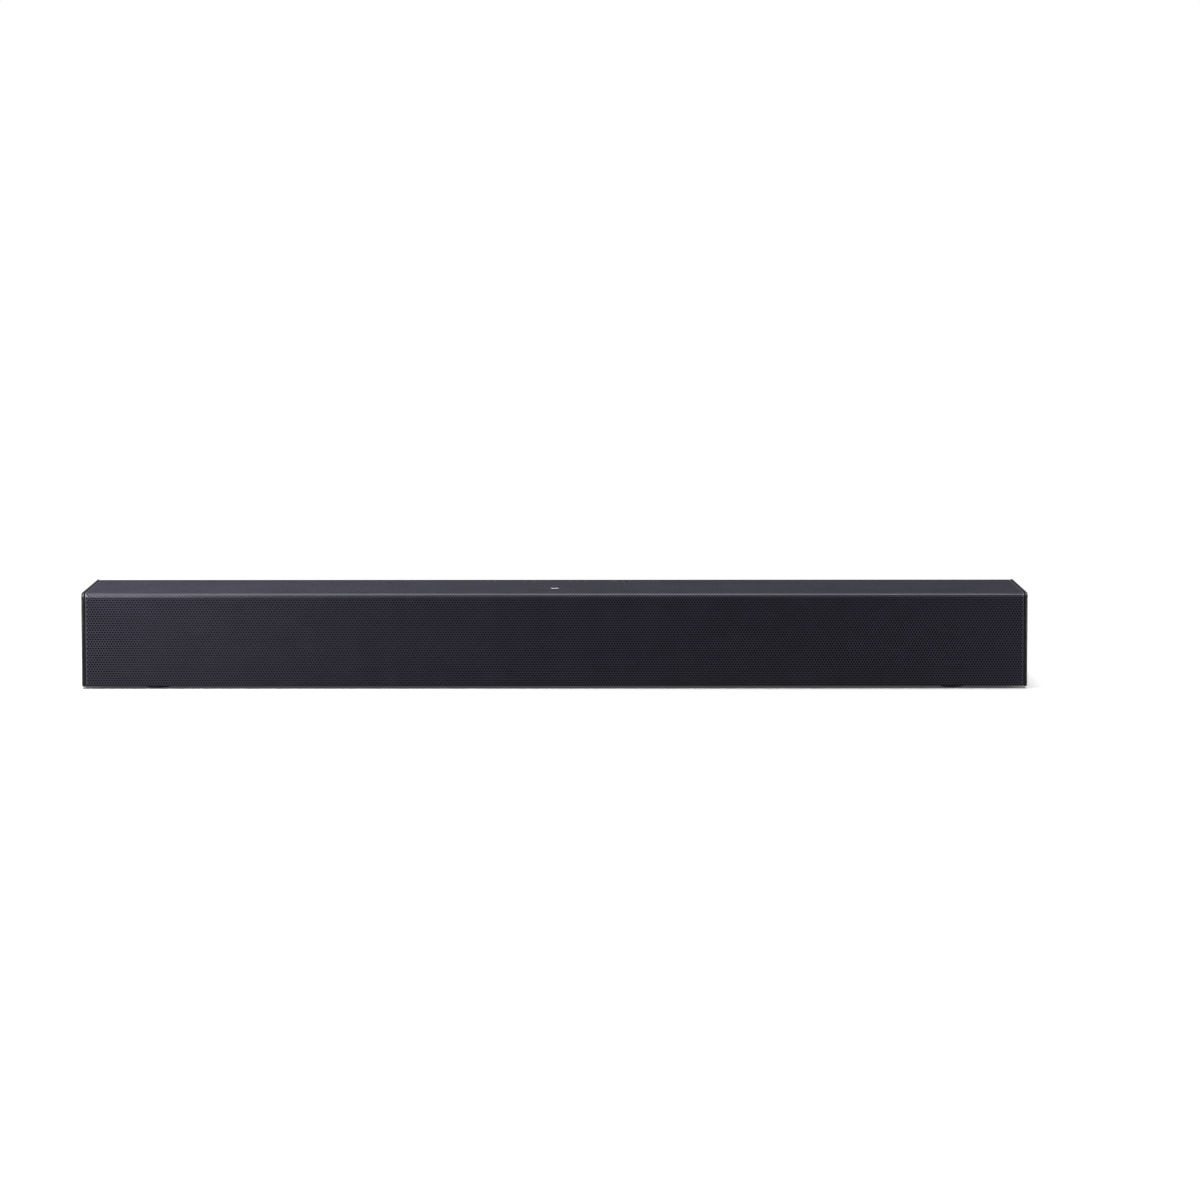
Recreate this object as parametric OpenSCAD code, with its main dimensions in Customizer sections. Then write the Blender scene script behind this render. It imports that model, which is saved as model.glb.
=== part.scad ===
// Compact soundbar with two woofers, two tweeters, top buttons and a rear jack bay.
// X runs along the bar, the front faces -Y and Z is up. The origin is on the floor,
// under the middle of the bar. All sizes are in millimetres.

/* [Overall size] */
// Length over the end caps
bar_w = 640; // [620:1:800]
// Depth from front to back, over the end caps
bar_d = 106; // [100:1:140]
// Height of the end caps
bar_h = 64; // [63:1:90]
// Height of the gap that the feet leave under the end caps
foot_stand = 1.5; // [1:0.1:4]

/* [Cabinet shells] */
// Thickness of an end cap
cap_t = 2.2; // [1.8:0.1:4]
// How far the panels lie inside the outline of the end caps
panel_inset = 0.3; // [0.1:0.1:0.8]
// Gap between an end cap and the ends of the panels
end_gap = 0.4; // [0.2:0.1:1]
// Wall of the moulded shells
wall = 2.4; // [2:0.1:3]
// Gap between two shells where they meet at an edge
seam = 0.3; // [0.2:0.1:0.6]
// Depth of the strip of rear cover that shows on top
rear_lip = 4; // [3:0.5:8]
// Depth of the ledge that carries the rear edge of the top cover
ledge_d = 4; // [3.5:0.5:5]
// Height of the skirt and of the upstand behind the grille
skirt_h = 8; // [6:0.5:12]
// Distance of each bulkhead from the middle
bulkhead_x = 115; // [110:1:125]

/* [Grille] */
// Thickness of the grille's sheet
grille_t = 0.8; // [0.6:0.1:1]
// Outside radius of the bend from the front to the top
bend_r = 4; // [3:0.5:6]
// Outside radius of the two small bends
fold_r = 1.4; // [1.2:0.1:1.6]
// Depth of the flange folded under the bar
flange_d = 6; // [4:0.5:10]
// Height of the flange folded down at the rear
return_h = 2.4; // [2:0.1:2.6]
// Thickness of the cloth behind the grille
cloth_t = 0.3; // [0.2:0.1:0.5]

/* [Baffle] */
// Thickness of the baffle
baffle_t = 3; // [2.8:0.1:5]
// Space between the skirts of the shells and the baffle
baffle_gap = 0.1; // [0.1:0.1:3.6]
// Radius of the window in front of the remote receiver
window_r = 4; // [3.5:0.5:6]

/* [Woofers] */
// Distance of a woofer's axis from the end of the bar
woofer_end = 115; // [110:1:120]
// Side of the square woofer frame
woofer_frame = 54; // [52:1:54]
// Distance of the frame's screws from the axis, along each side
woofer_screw = 22.5; // [22:0.5:23]
// Radius of the baffle opening in front of a woofer
woofer_mouth_r = 25; // [24.5:0.5:26]
// Thickness of the gasket between frame and baffle
gasket_t = 1; // [0.5:0.1:2]
// Thickness of the frame's plate
frame_t = 1.5; // [1:0.1:2]
// Radius of the opening in the frame
frame_hole_r = 22; // [21.5:0.1:22.5]
// Radius of the rounded roll of the surround, over its outside
roll_r = 2.3; // [1.5:0.1:2.4]
// Depth of the basket behind the frame's front face
basket_d = 14.5; // [13.5:0.5:16]
// Thickness of the top plate
top_plate_t = 3; // [2:0.5:4]
// Radius of the ring magnet
magnet_r = 19; // [17:0.5:22]
// Thickness of the ring magnet
magnet_t = 8; // [7:0.5:12]
// Outside radius of the voice coil's former
coil_r = 8; // [7.5:0.1:8]
// Thickness of the winding
winding_t = 0.5; // [0.3:0.1:0.6]
// Radial gap on each side of the voice coil
coil_gap = 0.4; // [0.3:0.1:0.6]

/* [Tweeters] */
// Distance of a tweeter's axis from the end of the bar
tweeter_end = 45; // [42:1:48]
// Radius of the tweeter's flange
tweeter_flange_r = 18; // [17.5:0.5:19]
// Distance of the flange's screws from the axis
tweeter_screw = 15; // [15:0.1:15.5]
// Radius of the baffle opening in front of a tweeter
tweeter_mouth_r = 12; // [11.5:0.5:12.5]
// Radius of the dome
dome_r = 9.5; // [9:0.1:10]
// Height of the dome
dome_h = 3; // [2:0.1:4]

/* [Bass ports] */
// Distance of a port's axis from the end of the bar
port_end = 70; // [68:1:75]
// Bore radius of a port
port_r = 13; // [10:0.5:15.5]
// Wall of a port's tube
port_wall = 2; // [1.5:0.1:2.5]
// Length of a port's tube
port_len = 56; // [40:1:60]
// Radius of the rounded mouth
port_flare = 1.8; // [1:0.1:2]

/* [Jack bay] */
// Width of the bay in the rear cover
bay_w = 100; // [96:1:120]
// Height of the bay
bay_h = 30; // [22:1:32]
// Depth of the bay
bay_d = 18; // [12:1:22]
// Height of the bay's floor above the floor of the cabinet
bay_lift = 8; // [7:0.5:12]
// Height of the board's upper face above the floor of the bay
socket_lift = 4; // [3:0.5:6]
// How far the sockets stand out of the bay's back wall
socket_proud = 1; // [0.5:0.1:2]
// Gap round each socket in the wall of the bay
socket_gap = 0.3; // [0.2:0.1:0.6]
// Bore radius of the analogue jack
aux_r = 1.8; // [1.8:0.01:1.85]

/* [Boards] */
// Thickness of the circuit boards
board_t = 1.6; // [1:0.1:2]
// Width of the main board
board_w = 190; // [180:1:200]
// Radius of a board's screw bosses
standoff_r = 3; // [2.5:0.1:4]

/* [Buttons] */
// Distance between neighbouring buttons
button_pitch = 31.4; // [26:0.1:36]
// Distance of the buttons' axes from the rear face
button_back = 13.5; // [12:0.5:15]
// Diameter of a button
button_dia = 8.6; // [7:0.1:9.5]
// Gap round a button
button_gap = 0.3; // [0.2:0.05:0.5]
// How far a button stands out of the grille
button_proud = 0.3; // [0.1:0.1:0.3]
// Travel of a button
button_travel = 0.5; // [0.3:0.1:0.6]
// Distance of the indicator from the front face
indicator_back = 36; // [30:1:40]
// Length of the indicator
indicator_w = 5; // [4:0.5:8]
// Width of the indicator
indicator_d = 1.2; // [1:0.1:2]

/* [Fasteners and feet] */
// Radius of a screw's shank
screw_r = 1.25; // [1:0.05:1.4]
// Radius of a screw's head
head_r = 2.4; // [2.2:0.1:2.5]
// Height of a screw's head
head_h = 1.1; // [0.8:0.1:1.2]
// Radial clearance of a shank in its pilot hole
pilot_gap = 0.03; // [0.02:0.01:0.05]
// Radial clearance of a shank in a plain hole
shank_gap = 0.25; // [0.15:0.05:0.3]
// Radius of a screw boss
boss_r = 3.5; // [3:0.1:4]
// Distance between the two wall-mount inserts
mount_span = 400; // [380:1:420]
// Outside radius of an insert
insert_r = 3.1; // [2.8:0.1:3.5]
// Radius of an insert's threaded hole
insert_hole_r = 1.65; // [1.6:0.05:1.7]
// Length of an insert
insert_len = 8; // [6:0.5:10]
// Radius of a rubber foot
foot_r = 8; // [5:0.5:9]
// Depth of a foot's recess in the bottom cover
foot_recess = 0.8; // [0.5:0.1:1.2]

/* [Hidden] */
$fn = 48;
// Small overlap that joins or cuts solids cleanly
eps = 0.5;

half_w = bar_w / 2;
half_d = bar_d / 2;
cap_z0 = foot_stand;
cap_z1 = foot_stand + bar_h;
cap_x = half_w - cap_t;
panel_x = cap_x - end_gap;

// Outer faces of the panels, and the faces that line the grille
front_y = -half_d + panel_inset;
rear_y = half_d - panel_inset;
base_z = cap_z0 + panel_inset;
top_z = cap_z1 - panel_inset;
lining_y = front_y + grille_t;
lining_z = top_z - grille_t;

// Faces of the space inside the cabinet
floor_z = base_z + wall;
ceiling_z = lining_z - wall;
back_y = rear_y - wall;
mid_z = (floor_z + ceiling_z) / 2;
baffle_y0 = lining_y + wall + baffle_gap;
baffle_y1 = baffle_y0 + baffle_t;
driver_y = baffle_y1 + gasket_t;

grille_rear = rear_y - rear_lip - seam;
cover_rear = grille_rear - grille_t - seam / 2;

woofer_x = half_w - woofer_end;
tweeter_x = half_w - tweeter_end;
port_x = half_w - port_end;
coil_bore = coil_r + winding_t + coil_gap;
pole_r = coil_r - 0.4 - coil_gap;
magnet_y0 = basket_d + top_plate_t;
yoke_t = 3;

bay_z0 = floor_z + bay_lift;
bay_y = rear_y - bay_d;
board_z = bay_z0 + socket_lift;
board_y0 = baffle_y1 + 6;
board_y1 = bay_y - wall - seam;
socket_y = bay_y + socket_proud;

button_y = rear_y - button_back;
button_flange_t = 1;
button_flange_z = ceiling_z - 0.2;
stem_z = button_flange_z - 5;
switch_h = 3.5;
plunger_h = 0.9;
button_board_z = stem_z - button_travel - 0.1 - plunger_h - switch_h;
button_board_w = 3 * button_pitch + 30;
button_board_front = button_y - 14;
hanger_x = button_board_w / 2 - 5;
indicator_y = front_y + indicator_back;

insert_z = mid_z;
foot_x = half_w - 50;
foot_y = half_d - 17;
lug = 9;
lug_w = 10;
lug_rear_y = back_y - lug / 2;
cap_lug_x = cap_x - 6.5;

// Places of the screws that come up through the bottom cover
top_boss_spots = [for (side = [-1, 1], x = [bulkhead_x + 25, panel_x - 11.4],
                       y = [baffle_y1 + 8.4, back_y - 20]) [side * x, y]];
rear_lug_spots = [for (side = [-1, 1], x = [woofer_x - 40, tweeter_x + 10]) [side * x, lug_rear_y]];
cap_lug_spots = [for (side = [-1, 1], y = [-12, 12]) [side * cap_lug_x, y]];
// Places of the boards' screws
standoff_spots = [for (x = [-1, 1] * (board_w / 2 - 6), y = [board_y0 + 6, board_y1 - 6]) [x, y]];
hanger_spots = [for (side = [-1, 1]) [side * hanger_x, button_y]];

// Sockets from left to right, seen from the front: place, width and height of each nose
dc_jack_at = [-40, 9, 11];
aux_jack_at = [-21, 8, 8];
usb_socket_at = [-2, 13.3, 5.9];
hdmi_socket_at = [20, 15.2, 6];
optical_socket_at = [40, 10.4, 10.4];
SOCKETS = [dc_jack_at, aux_jack_at, usb_socket_at, hdmi_socket_at, optical_socket_at];

// ---- Helpers ----

// Points of an arc, from angle a0 to a1
function arc(cx, cy, r, a0, a1, n = 8) =
    [for (i = [0:n]) let (a = a0 + (a1 - a0) * i / n) [cx + r * cos(a), cy + r * sin(a)]];

// Points of a spherical cap in (radius, depth), from its apex on the axis to its rim
function dome(rim_r, apex, rim, n = 8) =
    let (s = rim - apex, r = (rim_r * rim_r + s * s) / (2 * s), a1 = asin(rim_r / r))
    [for (i = [0:n]) let (a = a1 * i / n) [r * sin(a), apex + r * (1 - cos(a))]];

function reverse(list) = [for (i = [len(list) - 1:-1:0]) list[i]];

// Extrudes a (Y, Z) profile along X
module along_x(x0, x1) {
    translate([x0, 0, 0]) rotate([90, 0, 90]) linear_extrude(x1 - x0) children();
}

// Puts children whose own Z axis runs rearwards at a place on the bar
module facing_rear(x, y, z) {
    translate([x, y, z]) rotate([-90, 0, 0]) children();
}

// A box given by two corners
module box(low, high) {
    translate(low) cube(high - low);
}

// A pilot or clearance hole, rising from z
module hole_up(spot, z, r, depth) {
    translate([spot[0], spot[1], z - eps]) cylinder(r = r, h = depth + eps);
}

// A screw whose head rests at depth 0 and whose shank runs along +Z
module screw(shank) {
    translate([0, 0, -head_h]) cylinder(r = head_r, h = head_h);
    cylinder(r = screw_r, h = shank);
}

// ---- Cabinet shells ----

module front_grille() {
    top_bend = [front_y + bend_r, top_z - bend_r];
    rear_fold = [grille_rear - fold_r, top_z - fold_r];
    base_fold = [front_y + fold_r, base_z + fold_r];
    outside = concat([[grille_rear, top_z - return_h]],
                     arc(rear_fold[0], rear_fold[1], fold_r, 0, 90, 4),
                     arc(top_bend[0], top_bend[1], bend_r, 90, 180),
                     arc(base_fold[0], base_fold[1], fold_r, 180, 270, 4),
                     [[front_y + flange_d, base_z]]);
    inside = concat([[grille_rear - grille_t, top_z - return_h]],
                    arc(rear_fold[0], rear_fold[1], fold_r - grille_t, 0, 90, 4),
                    arc(top_bend[0], top_bend[1], bend_r - grille_t, 90, 180),
                    arc(base_fold[0], base_fold[1], fold_r - grille_t, 180, 270, 4),
                    [[front_y + flange_d, base_z + grille_t]]);
    color([0.22, 0.22, 0.26]) difference() {
        along_x(-panel_x, panel_x) polygon(concat(outside, reverse(inside)));
        button_holes();
        indicator_slot(0.1);
    }
}

// Round holes for the four buttons
module button_holes() {
    for (i = [-1.5:1:1.5])
        translate([i * button_pitch, button_y, ceiling_z - eps])
            cylinder(r = button_dia / 2 + button_gap, h = top_z - ceiling_z + 2 * eps);
}

// Slot for the light guide
module indicator_slot(gap) {
    box([-indicator_w / 2 - gap, indicator_y - indicator_d / 2 - gap, ceiling_z - eps],
        [indicator_w / 2 + gap, indicator_y + indicator_d / 2 + gap, top_z + eps]);
}

module grille_cloth() {
    color([0.05, 0.05, 0.05])
        box([-panel_x + 1, lining_y, base_z + grille_t + skirt_h + seam],
            [panel_x - 1, lining_y + cloth_t, lining_z - skirt_h - seam]);
}

module top_cover() {
    chamfer = fold_r / 2;
    profile = concat([[cover_rear, ceiling_z], [cover_rear, lining_z - chamfer],
                      [cover_rear - chamfer, lining_z]],
                     arc(lining_y + bend_r, lining_z - bend_r, bend_r, 90, 180),
                     [[lining_y, lining_z - skirt_h], [lining_y + wall, lining_z - skirt_h],
                      [lining_y + wall, ceiling_z]]);
    color([0.09, 0.09, 0.1]) difference() {
        union() {
            along_x(-panel_x, panel_x) polygon(profile);
            for (spot = top_boss_spots)
                translate([spot[0], spot[1], floor_z])
                    cylinder(r = boss_r, h = ceiling_z - floor_z + eps);
            for (spot = hanger_spots)
                translate([spot[0], spot[1], button_board_z])
                    cylinder(r = standoff_r, h = ceiling_z - button_board_z + eps);
        }
        button_holes();
        indicator_slot(0.1);
        for (spot = top_boss_spots)
            hole_up(spot, floor_z, screw_r + pilot_gap, 12);
        for (spot = hanger_spots)
            hole_up(spot, button_board_z, screw_r + pilot_gap, 5);
    }
}

module front_baffle() {
    blind = 0.5;
    color([0.08, 0.08, 0.08]) difference() {
        box([-panel_x, baffle_y0, floor_z], [panel_x, baffle_y1, ceiling_z]);
        for (side = [-1, 1]) {
            facing_rear(side * woofer_x, baffle_y0 - eps, mid_z)
                cylinder(r = woofer_mouth_r, h = baffle_t + 2 * eps);
            facing_rear(side * tweeter_x, baffle_y0 - eps, mid_z)
                cylinder(r = tweeter_mouth_r, h = baffle_t + 2 * eps);
            for (dx = [-1, 1] * woofer_screw, dz = [-1, 1] * woofer_screw)
                facing_rear(side * woofer_x + dx, baffle_y0 + blind, mid_z + dz)
                    cylinder(r = screw_r + pilot_gap, h = baffle_t);
            for (dz = [-1, 1])
                facing_rear(side * tweeter_x, baffle_y0 + blind, mid_z + dz * tweeter_screw)
                    cylinder(r = screw_r + pilot_gap, h = baffle_t);
        }
        facing_rear(ir_x, baffle_y0 - eps, ir_z) cylinder(r = window_r, h = baffle_t + 2 * eps);
    }
}

module bottom_cover() {
    step_y = front_y + flange_d + seam;
    step_z = base_z + grille_t;
    floor_rear = back_y - seam / 2;
    color([0.09, 0.09, 0.1]) difference() {
        union() {
            along_x(-panel_x, panel_x)
                polygon([[lining_y + 1, step_z], [step_y, step_z], [step_y, base_z],
                         [floor_rear, base_z], [floor_rear, floor_z], [lining_y + wall, floor_z],
                         [lining_y + wall, step_z + skirt_h], [lining_y, step_z + skirt_h],
                         [lining_y, step_z + 1]]);
            for (spot = standoff_spots)
                translate([spot[0], spot[1], floor_z - eps])
                    cylinder(r = standoff_r, h = board_z - board_t - floor_z + eps);
        }
        for (spot = concat(top_boss_spots, rear_lug_spots, cap_lug_spots)) {
            hole_up(spot, base_z, head_r + shank_gap, head_h + 0.1);
            hole_up(spot, base_z, screw_r + shank_gap, wall + eps);
        }
        for (spot = standoff_spots)
            translate([spot[0], spot[1], board_z - board_t - 6])
                cylinder(r = screw_r + pilot_gap, h = 6 + eps);
        for (x = [-foot_x, foot_x], y = [-foot_y, foot_y])
            hole_up([x, y], base_z, foot_r + 0.2, foot_recess);
    }
}

module rear_cover() {
    edge_r = 1.5;
    lip_y = rear_y - rear_lip;
    profile = concat(arc(rear_y - edge_r, base_z + edge_r, edge_r, 270, 360, 4),
                     arc(rear_y - edge_r, top_z - edge_r, edge_r, 0, 90, 4),
                     [[lip_y, top_z], [lip_y, top_z - wall], [back_y, top_z - wall],
                      [back_y, ceiling_z], [back_y - ledge_d, ceiling_z],
                      [back_y - ledge_d, ceiling_z - wall], [back_y, ceiling_z - wall],
                      [back_y, base_z]]);
    color([0.06, 0.06, 0.06]) difference() {
        union() {
            along_x(-panel_x, panel_x) polygon(profile);
            box([-bay_w / 2 - wall, bay_y - wall, bay_z0 - wall],
                [bay_w / 2 + wall, back_y + eps, bay_z0 + bay_h + wall]);
            for (spot = rear_lug_spots)
                box([spot[0] - lug_w / 2, back_y - lug, floor_z],
                    [spot[0] + lug_w / 2, back_y + eps, floor_z + lug]);
            for (side = [-1, 1])
                facing_rear(side * mount_span / 2, rear_y - insert_len - 2, insert_z)
                    cylinder(r = insert_r + 2, h = insert_len);
        }
        box([-bay_w / 2, bay_y, bay_z0], [bay_w / 2, rear_y + eps, bay_z0 + bay_h]);
        for (socket = SOCKETS) {
            opening_w = socket[1] + 2 * socket_gap;
            box([socket[0] - opening_w / 2, bay_y - wall - eps, board_z - socket_gap],
                [socket[0] + opening_w / 2, bay_y + eps, board_z + socket[2] + socket_gap]);
        }
        for (side = [-1, 1]) {
            facing_rear(side * port_x, back_y - eps, mid_z)
                cylinder(r = port_r + port_wall + 0.05, h = wall + 2 * eps);
            facing_rear(side * mount_span / 2, rear_y - insert_len, insert_z)
                cylinder(r = insert_r + 0.02, h = insert_len + eps);
        }
        for (spot = rear_lug_spots)
            hole_up(spot, floor_z, screw_r + pilot_gap, 7);
    }
}

// Side is -1 for the left end and 1 for the right end
module end_cap(side) {
    low_r = 1.5;
    top_r = bend_r + panel_inset;
    outline = concat(arc(half_d - low_r, cap_z0 + low_r, low_r, 270, 360, 4),
                     arc(half_d - low_r, cap_z1 - low_r, low_r, 0, 90, 4),
                     arc(-half_d + top_r, cap_z1 - top_r, top_r, 90, 180),
                     arc(-half_d + low_r, cap_z0 + low_r, low_r, 180, 270, 4));
    tab_w = 24;
    mirror([side < 0 ? 1 : 0, 0, 0]) color([0.03, 0.03, 0.03]) difference() {
        union() {
            along_x(cap_x, half_w) polygon(outline);
            for (y = [-12, 12])
                box([cap_x - 11.5, y - lug_w / 2, floor_z],
                    [cap_x + eps, y + lug_w / 2, floor_z + lug]);
            box([cap_x - 8, -tab_w / 2, ceiling_z - 3], [cap_x + eps, tab_w / 2, ceiling_z]);
        }
        for (y = [-12, 12])
            hole_up([cap_lug_x, y], floor_z, screw_r + pilot_gap, 7);
    }
}
module left_end_cap() end_cap(-1);
module right_end_cap() end_cap(1);

// The plate that closes a driver chamber, with a hole for the speaker lead
module bulkhead(side) {
    color([0.12, 0.12, 0.12]) difference() {
        box([side * bulkhead_x - wall / 2, baffle_y1, floor_z],
            [side * bulkhead_x + wall / 2, back_y, ceiling_z]);
        box([side * bulkhead_x - wall, back_y - ledge_d - 0.1, ceiling_z - wall - 0.1],
            [side * bulkhead_x + wall, back_y + eps, ceiling_z + eps]);
        translate([side * bulkhead_x - wall, lead_y, lead_z]) rotate([0, 90, 0])
            cylinder(r = lead_r + 0.3, h = 2 * wall);
    }
}
module left_bulkhead() bulkhead(-1);
module right_bulkhead() bulkhead(1);

// ---- Woofers: profiles are (radius, depth behind the frame's front face) ----

module at_woofer(side) facing_rear(side * woofer_x, driver_y, mid_z) children();

module woofer_screw_holes(r, h) {
    for (dx = [-1, 1], dy = [-1, 1])
        translate([dx * woofer_screw, dy * woofer_screw, -eps]) cylinder(r = r, h = h + 2 * eps);
}

module woofer_basket(side) {
    rim_r = frame_hole_r + 2;
    seat_r = magnet_r - 1;
    seat_t = 1.5;
    seat_hole_r = coil_bore + 2.6;
    shell = 1.2;
    window_w = 11;
    tab_x = woofer_frame / 2 + 2;
    color([0.15, 0.15, 0.16]) at_woofer(side) difference() {
        union() {
            difference() {
                translate([-woofer_frame / 2, -woofer_frame / 2, 0])
                    cube([woofer_frame, woofer_frame, frame_t]);
                translate([0, 0, -eps]) cylinder(r = frame_hole_r, h = frame_t + 2 * eps);
                woofer_screw_holes(screw_r + shank_gap, frame_t);
            }
            difference() {
                rotate_extrude()
                    polygon([[rim_r - shell, frame_t - eps], [rim_r, frame_t - eps],
                             [rim_r, frame_t + 1], [seat_r, basket_d], [seat_hole_r, basket_d],
                             [seat_hole_r, basket_d - seat_t], [seat_r - shell, basket_d - seat_t],
                             [rim_r - shell, frame_t + 1]]);
                for (a = [30:60:330])
                    rotate([0, 0, a])
                        translate([seat_r - 6, -window_w / 2, frame_t + 1.5])
                            cube([12, window_w, basket_d - frame_t - seat_t - 3]);
            }
            translate([side > 0 ? -tab_x : rim_r - 3.5, -2.5, 4]) cube([tab_x - rim_r + 3.5, 5, 1]);
        }
    }
}
module left_woofer_basket() woofer_basket(-1);
module right_woofer_basket() woofer_basket(1);

module woofer_gasket(side) {
    color([0.2, 0.2, 0.2]) at_woofer(side) translate([0, 0, -gasket_t]) difference() {
        translate([-woofer_frame / 2, -woofer_frame / 2, 0])
            cube([woofer_frame, woofer_frame, gasket_t]);
        translate([0, 0, -eps]) cylinder(r = woofer_mouth_r, h = gasket_t + 2 * eps);
        woofer_screw_holes(screw_r + shank_gap, gasket_t);
    }
}
module left_woofer_gasket() woofer_gasket(-1);
module right_woofer_gasket() woofer_gasket(1);

// A half-round roll between a landing on the frame and a landing on the cone's rim
surround_t = 0.5;
roll_mid = frame_hole_r - roll_r + 0.1;
cone_rim_r = roll_mid - roll_r + surround_t;
module woofer_surround(side) {
    a = asin(surround_t / roll_r);
    color([0.05, 0.05, 0.05]) at_woofer(side) rotate_extrude()
        polygon(concat([[frame_hole_r + 2.3, -surround_t], [frame_hole_r + 2.3, 0]],
                       arc(roll_mid, 0, roll_r - surround_t, 0, -180, 12),
                       [[cone_rim_r - 2.2, 0], [cone_rim_r - 2.2, -surround_t]],
                       arc(roll_mid, 0, roll_r, a - 180, -a, 12)));
}
module left_woofer_surround() woofer_surround(-1);
module right_woofer_surround() woofer_surround(1);

// The cone with its dust cap: the front face, then the back face in reverse
cone_t = 0.6;
neck_depth = 6.7;
module woofer_cone(side) {
    cap_rim = coil_r + 1.6;
    color([0.1, 0.1, 0.11]) at_woofer(side) rotate_extrude()
        polygon(concat(dome(cap_rim, 1.2, 5),
                       [[cone_rim_r - 2, 0.1], [cone_rim_r - 0.1, 0.1],
                        [cone_rim_r - 0.1, 0.1 + cone_t], [cone_rim_r - 1.6, 0.1 + cone_t],
                        [coil_r + 0.7, neck_depth], [coil_r, neck_depth]],
                       reverse(dome(coil_r, 1.8, 4.9))));
}
module left_woofer_cone() woofer_cone(-1);
module right_woofer_cone() woofer_cone(1);

// The former hangs in the magnet's gap, with the winding level with the top plate
module woofer_voice_coil(side) {
    former_t = 0.4;
    winding_h = top_plate_t + 2;
    winding_y = basket_d + top_plate_t / 2 - winding_h / 2;
    color([0.75, 0.42, 0.2]) at_woofer(side) rotate_extrude()
        polygon([[coil_r - former_t, 5.2], [coil_r, 5.2], [coil_r, winding_y],
                 [coil_r + winding_t, winding_y], [coil_r + winding_t, winding_y + winding_h],
                 [coil_r, winding_y + winding_h], [coil_r, magnet_y0 + 3.5],
                 [coil_r - former_t, magnet_y0 + 3.5]]);
}
module left_woofer_voice_coil() woofer_voice_coil(-1);
module right_woofer_voice_coil() woofer_voice_coil(1);

// A corrugated disc from the former to the seat of the basket
module woofer_spider(side) {
    r0 = coil_r + 0.1;
    r1 = magnet_r - 3;
    waves = 4;
    steps = 8 * waves;
    height = 0.6;
    mid = basket_d - 1.5 - 1.2;
    function wave(i) = [r0 + (r1 - r0) * i / steps, mid + height * sin(360 * waves * i / steps)];
    color([0.75, 0.65, 0.35]) at_woofer(side) rotate_extrude()
        polygon(concat([for (i = [0:steps]) wave(i) - [0, 0.2]],
                       [[r1, mid + 1.2], [r1 - 1.2, mid + 1.2], [r1 - 1.2, mid + 0.6]],
                       [for (i = [steps - 6:-1:0]) wave(i) + [0, 0.2]]));
}
module left_woofer_spider() woofer_spider(-1);
module right_woofer_spider() woofer_spider(1);

module woofer_ring(side, inner, outer, start, thick) {
    at_woofer(side) translate([0, 0, start]) difference() {
        cylinder(r = outer, h = thick);
        translate([0, 0, -eps]) cylinder(r = inner, h = thick + 2 * eps);
    }
}

module woofer_top_plate(side) {
    color([0.6, 0.6, 0.62]) woofer_ring(side, coil_bore, magnet_r - 1, basket_d, top_plate_t);
}
module left_woofer_top_plate() woofer_top_plate(-1);
module right_woofer_top_plate() woofer_top_plate(1);

module woofer_magnet(side) {
    color([0.2, 0.2, 0.21]) woofer_ring(side, coil_bore + 3, magnet_r, magnet_y0, magnet_t);
}
module left_woofer_magnet() woofer_magnet(-1);
module right_woofer_magnet() woofer_magnet(1);

module woofer_yoke(side) {
    plate_y = magnet_y0 + magnet_t;
    color([0.6, 0.6, 0.62]) at_woofer(side) rotate_extrude()
        polygon([[0, basket_d], [pole_r, basket_d], [pole_r, plate_y], [magnet_r - 0.5, plate_y],
                 [magnet_r - 0.5, plate_y + yoke_t], [0, plate_y + yoke_t]]);
}
module left_woofer_yoke() woofer_yoke(-1);
module right_woofer_yoke() woofer_yoke(1);

// ---- Tweeters: profiles are (radius, depth behind the flange's front face) ----

module at_tweeter(side) facing_rear(side * tweeter_x, baffle_y1, mid_z) children();
cup_r = dome_r + 0.6;
cup_wall = 2.1;
cup_depth = 14.5;
tweeter_flange_t = 1.8;

module tweeter_housing(side) {
    seat = dome_r + 1.7;
    color([0.07, 0.07, 0.07]) at_tweeter(side) difference() {
        rotate_extrude()
            polygon([[cup_r, 0.8], [seat, 0.8], [seat, 0], [tweeter_flange_r, 0],
                     [tweeter_flange_r, tweeter_flange_t], [cup_r + cup_wall, tweeter_flange_t],
                     [cup_r + cup_wall, cup_depth], [0, cup_depth], [0, cup_depth - 2],
                     [cup_r, cup_depth - 2]]);
        for (dy = [-1, 1])
            translate([0, dy * tweeter_screw, -eps])
                cylinder(r = screw_r + shank_gap / 2, h = tweeter_flange_t + 2 * eps);
    }
}
module left_tweeter_housing() tweeter_housing(-1);
module right_tweeter_housing() tweeter_housing(1);

module tweeter_magnet(side) {
    plate_r = dome_r - 0.9;
    color([0.55, 0.55, 0.57]) at_tweeter(side) rotate_extrude()
        polygon([[0, 2.5], [plate_r, 2.5], [plate_r, 5], [plate_r - 0.6, 5],
                 [plate_r - 0.6, cup_depth - 2], [0, cup_depth - 2]]);
}
module left_tweeter_magnet() tweeter_magnet(-1);
module right_tweeter_magnet() tweeter_magnet(1);

// The dome, its flat suspension ring and the former behind it
module tweeter_dome(side) {
    ring_y = 0.25;
    ring_t = 0.2;
    dome_t = 0.3;
    color([0.6, 0.62, 0.65]) at_tweeter(side) rotate_extrude()
        polygon(concat(dome(dome_r, ring_y - dome_h, ring_y),
                       [[dome_r + 1.3, ring_y], [dome_r + 1.3, ring_y + ring_t],
                        [dome_r, ring_y + ring_t], [dome_r, 4.5], [dome_r - dome_t, 4.5]],
                       reverse(dome(dome_r - dome_t, ring_y - dome_h + dome_t, ring_y + ring_t))));
}
module left_tweeter_dome() tweeter_dome(-1);
module right_tweeter_dome() tweeter_dome(1);

// ---- Bass ports ----

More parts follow.
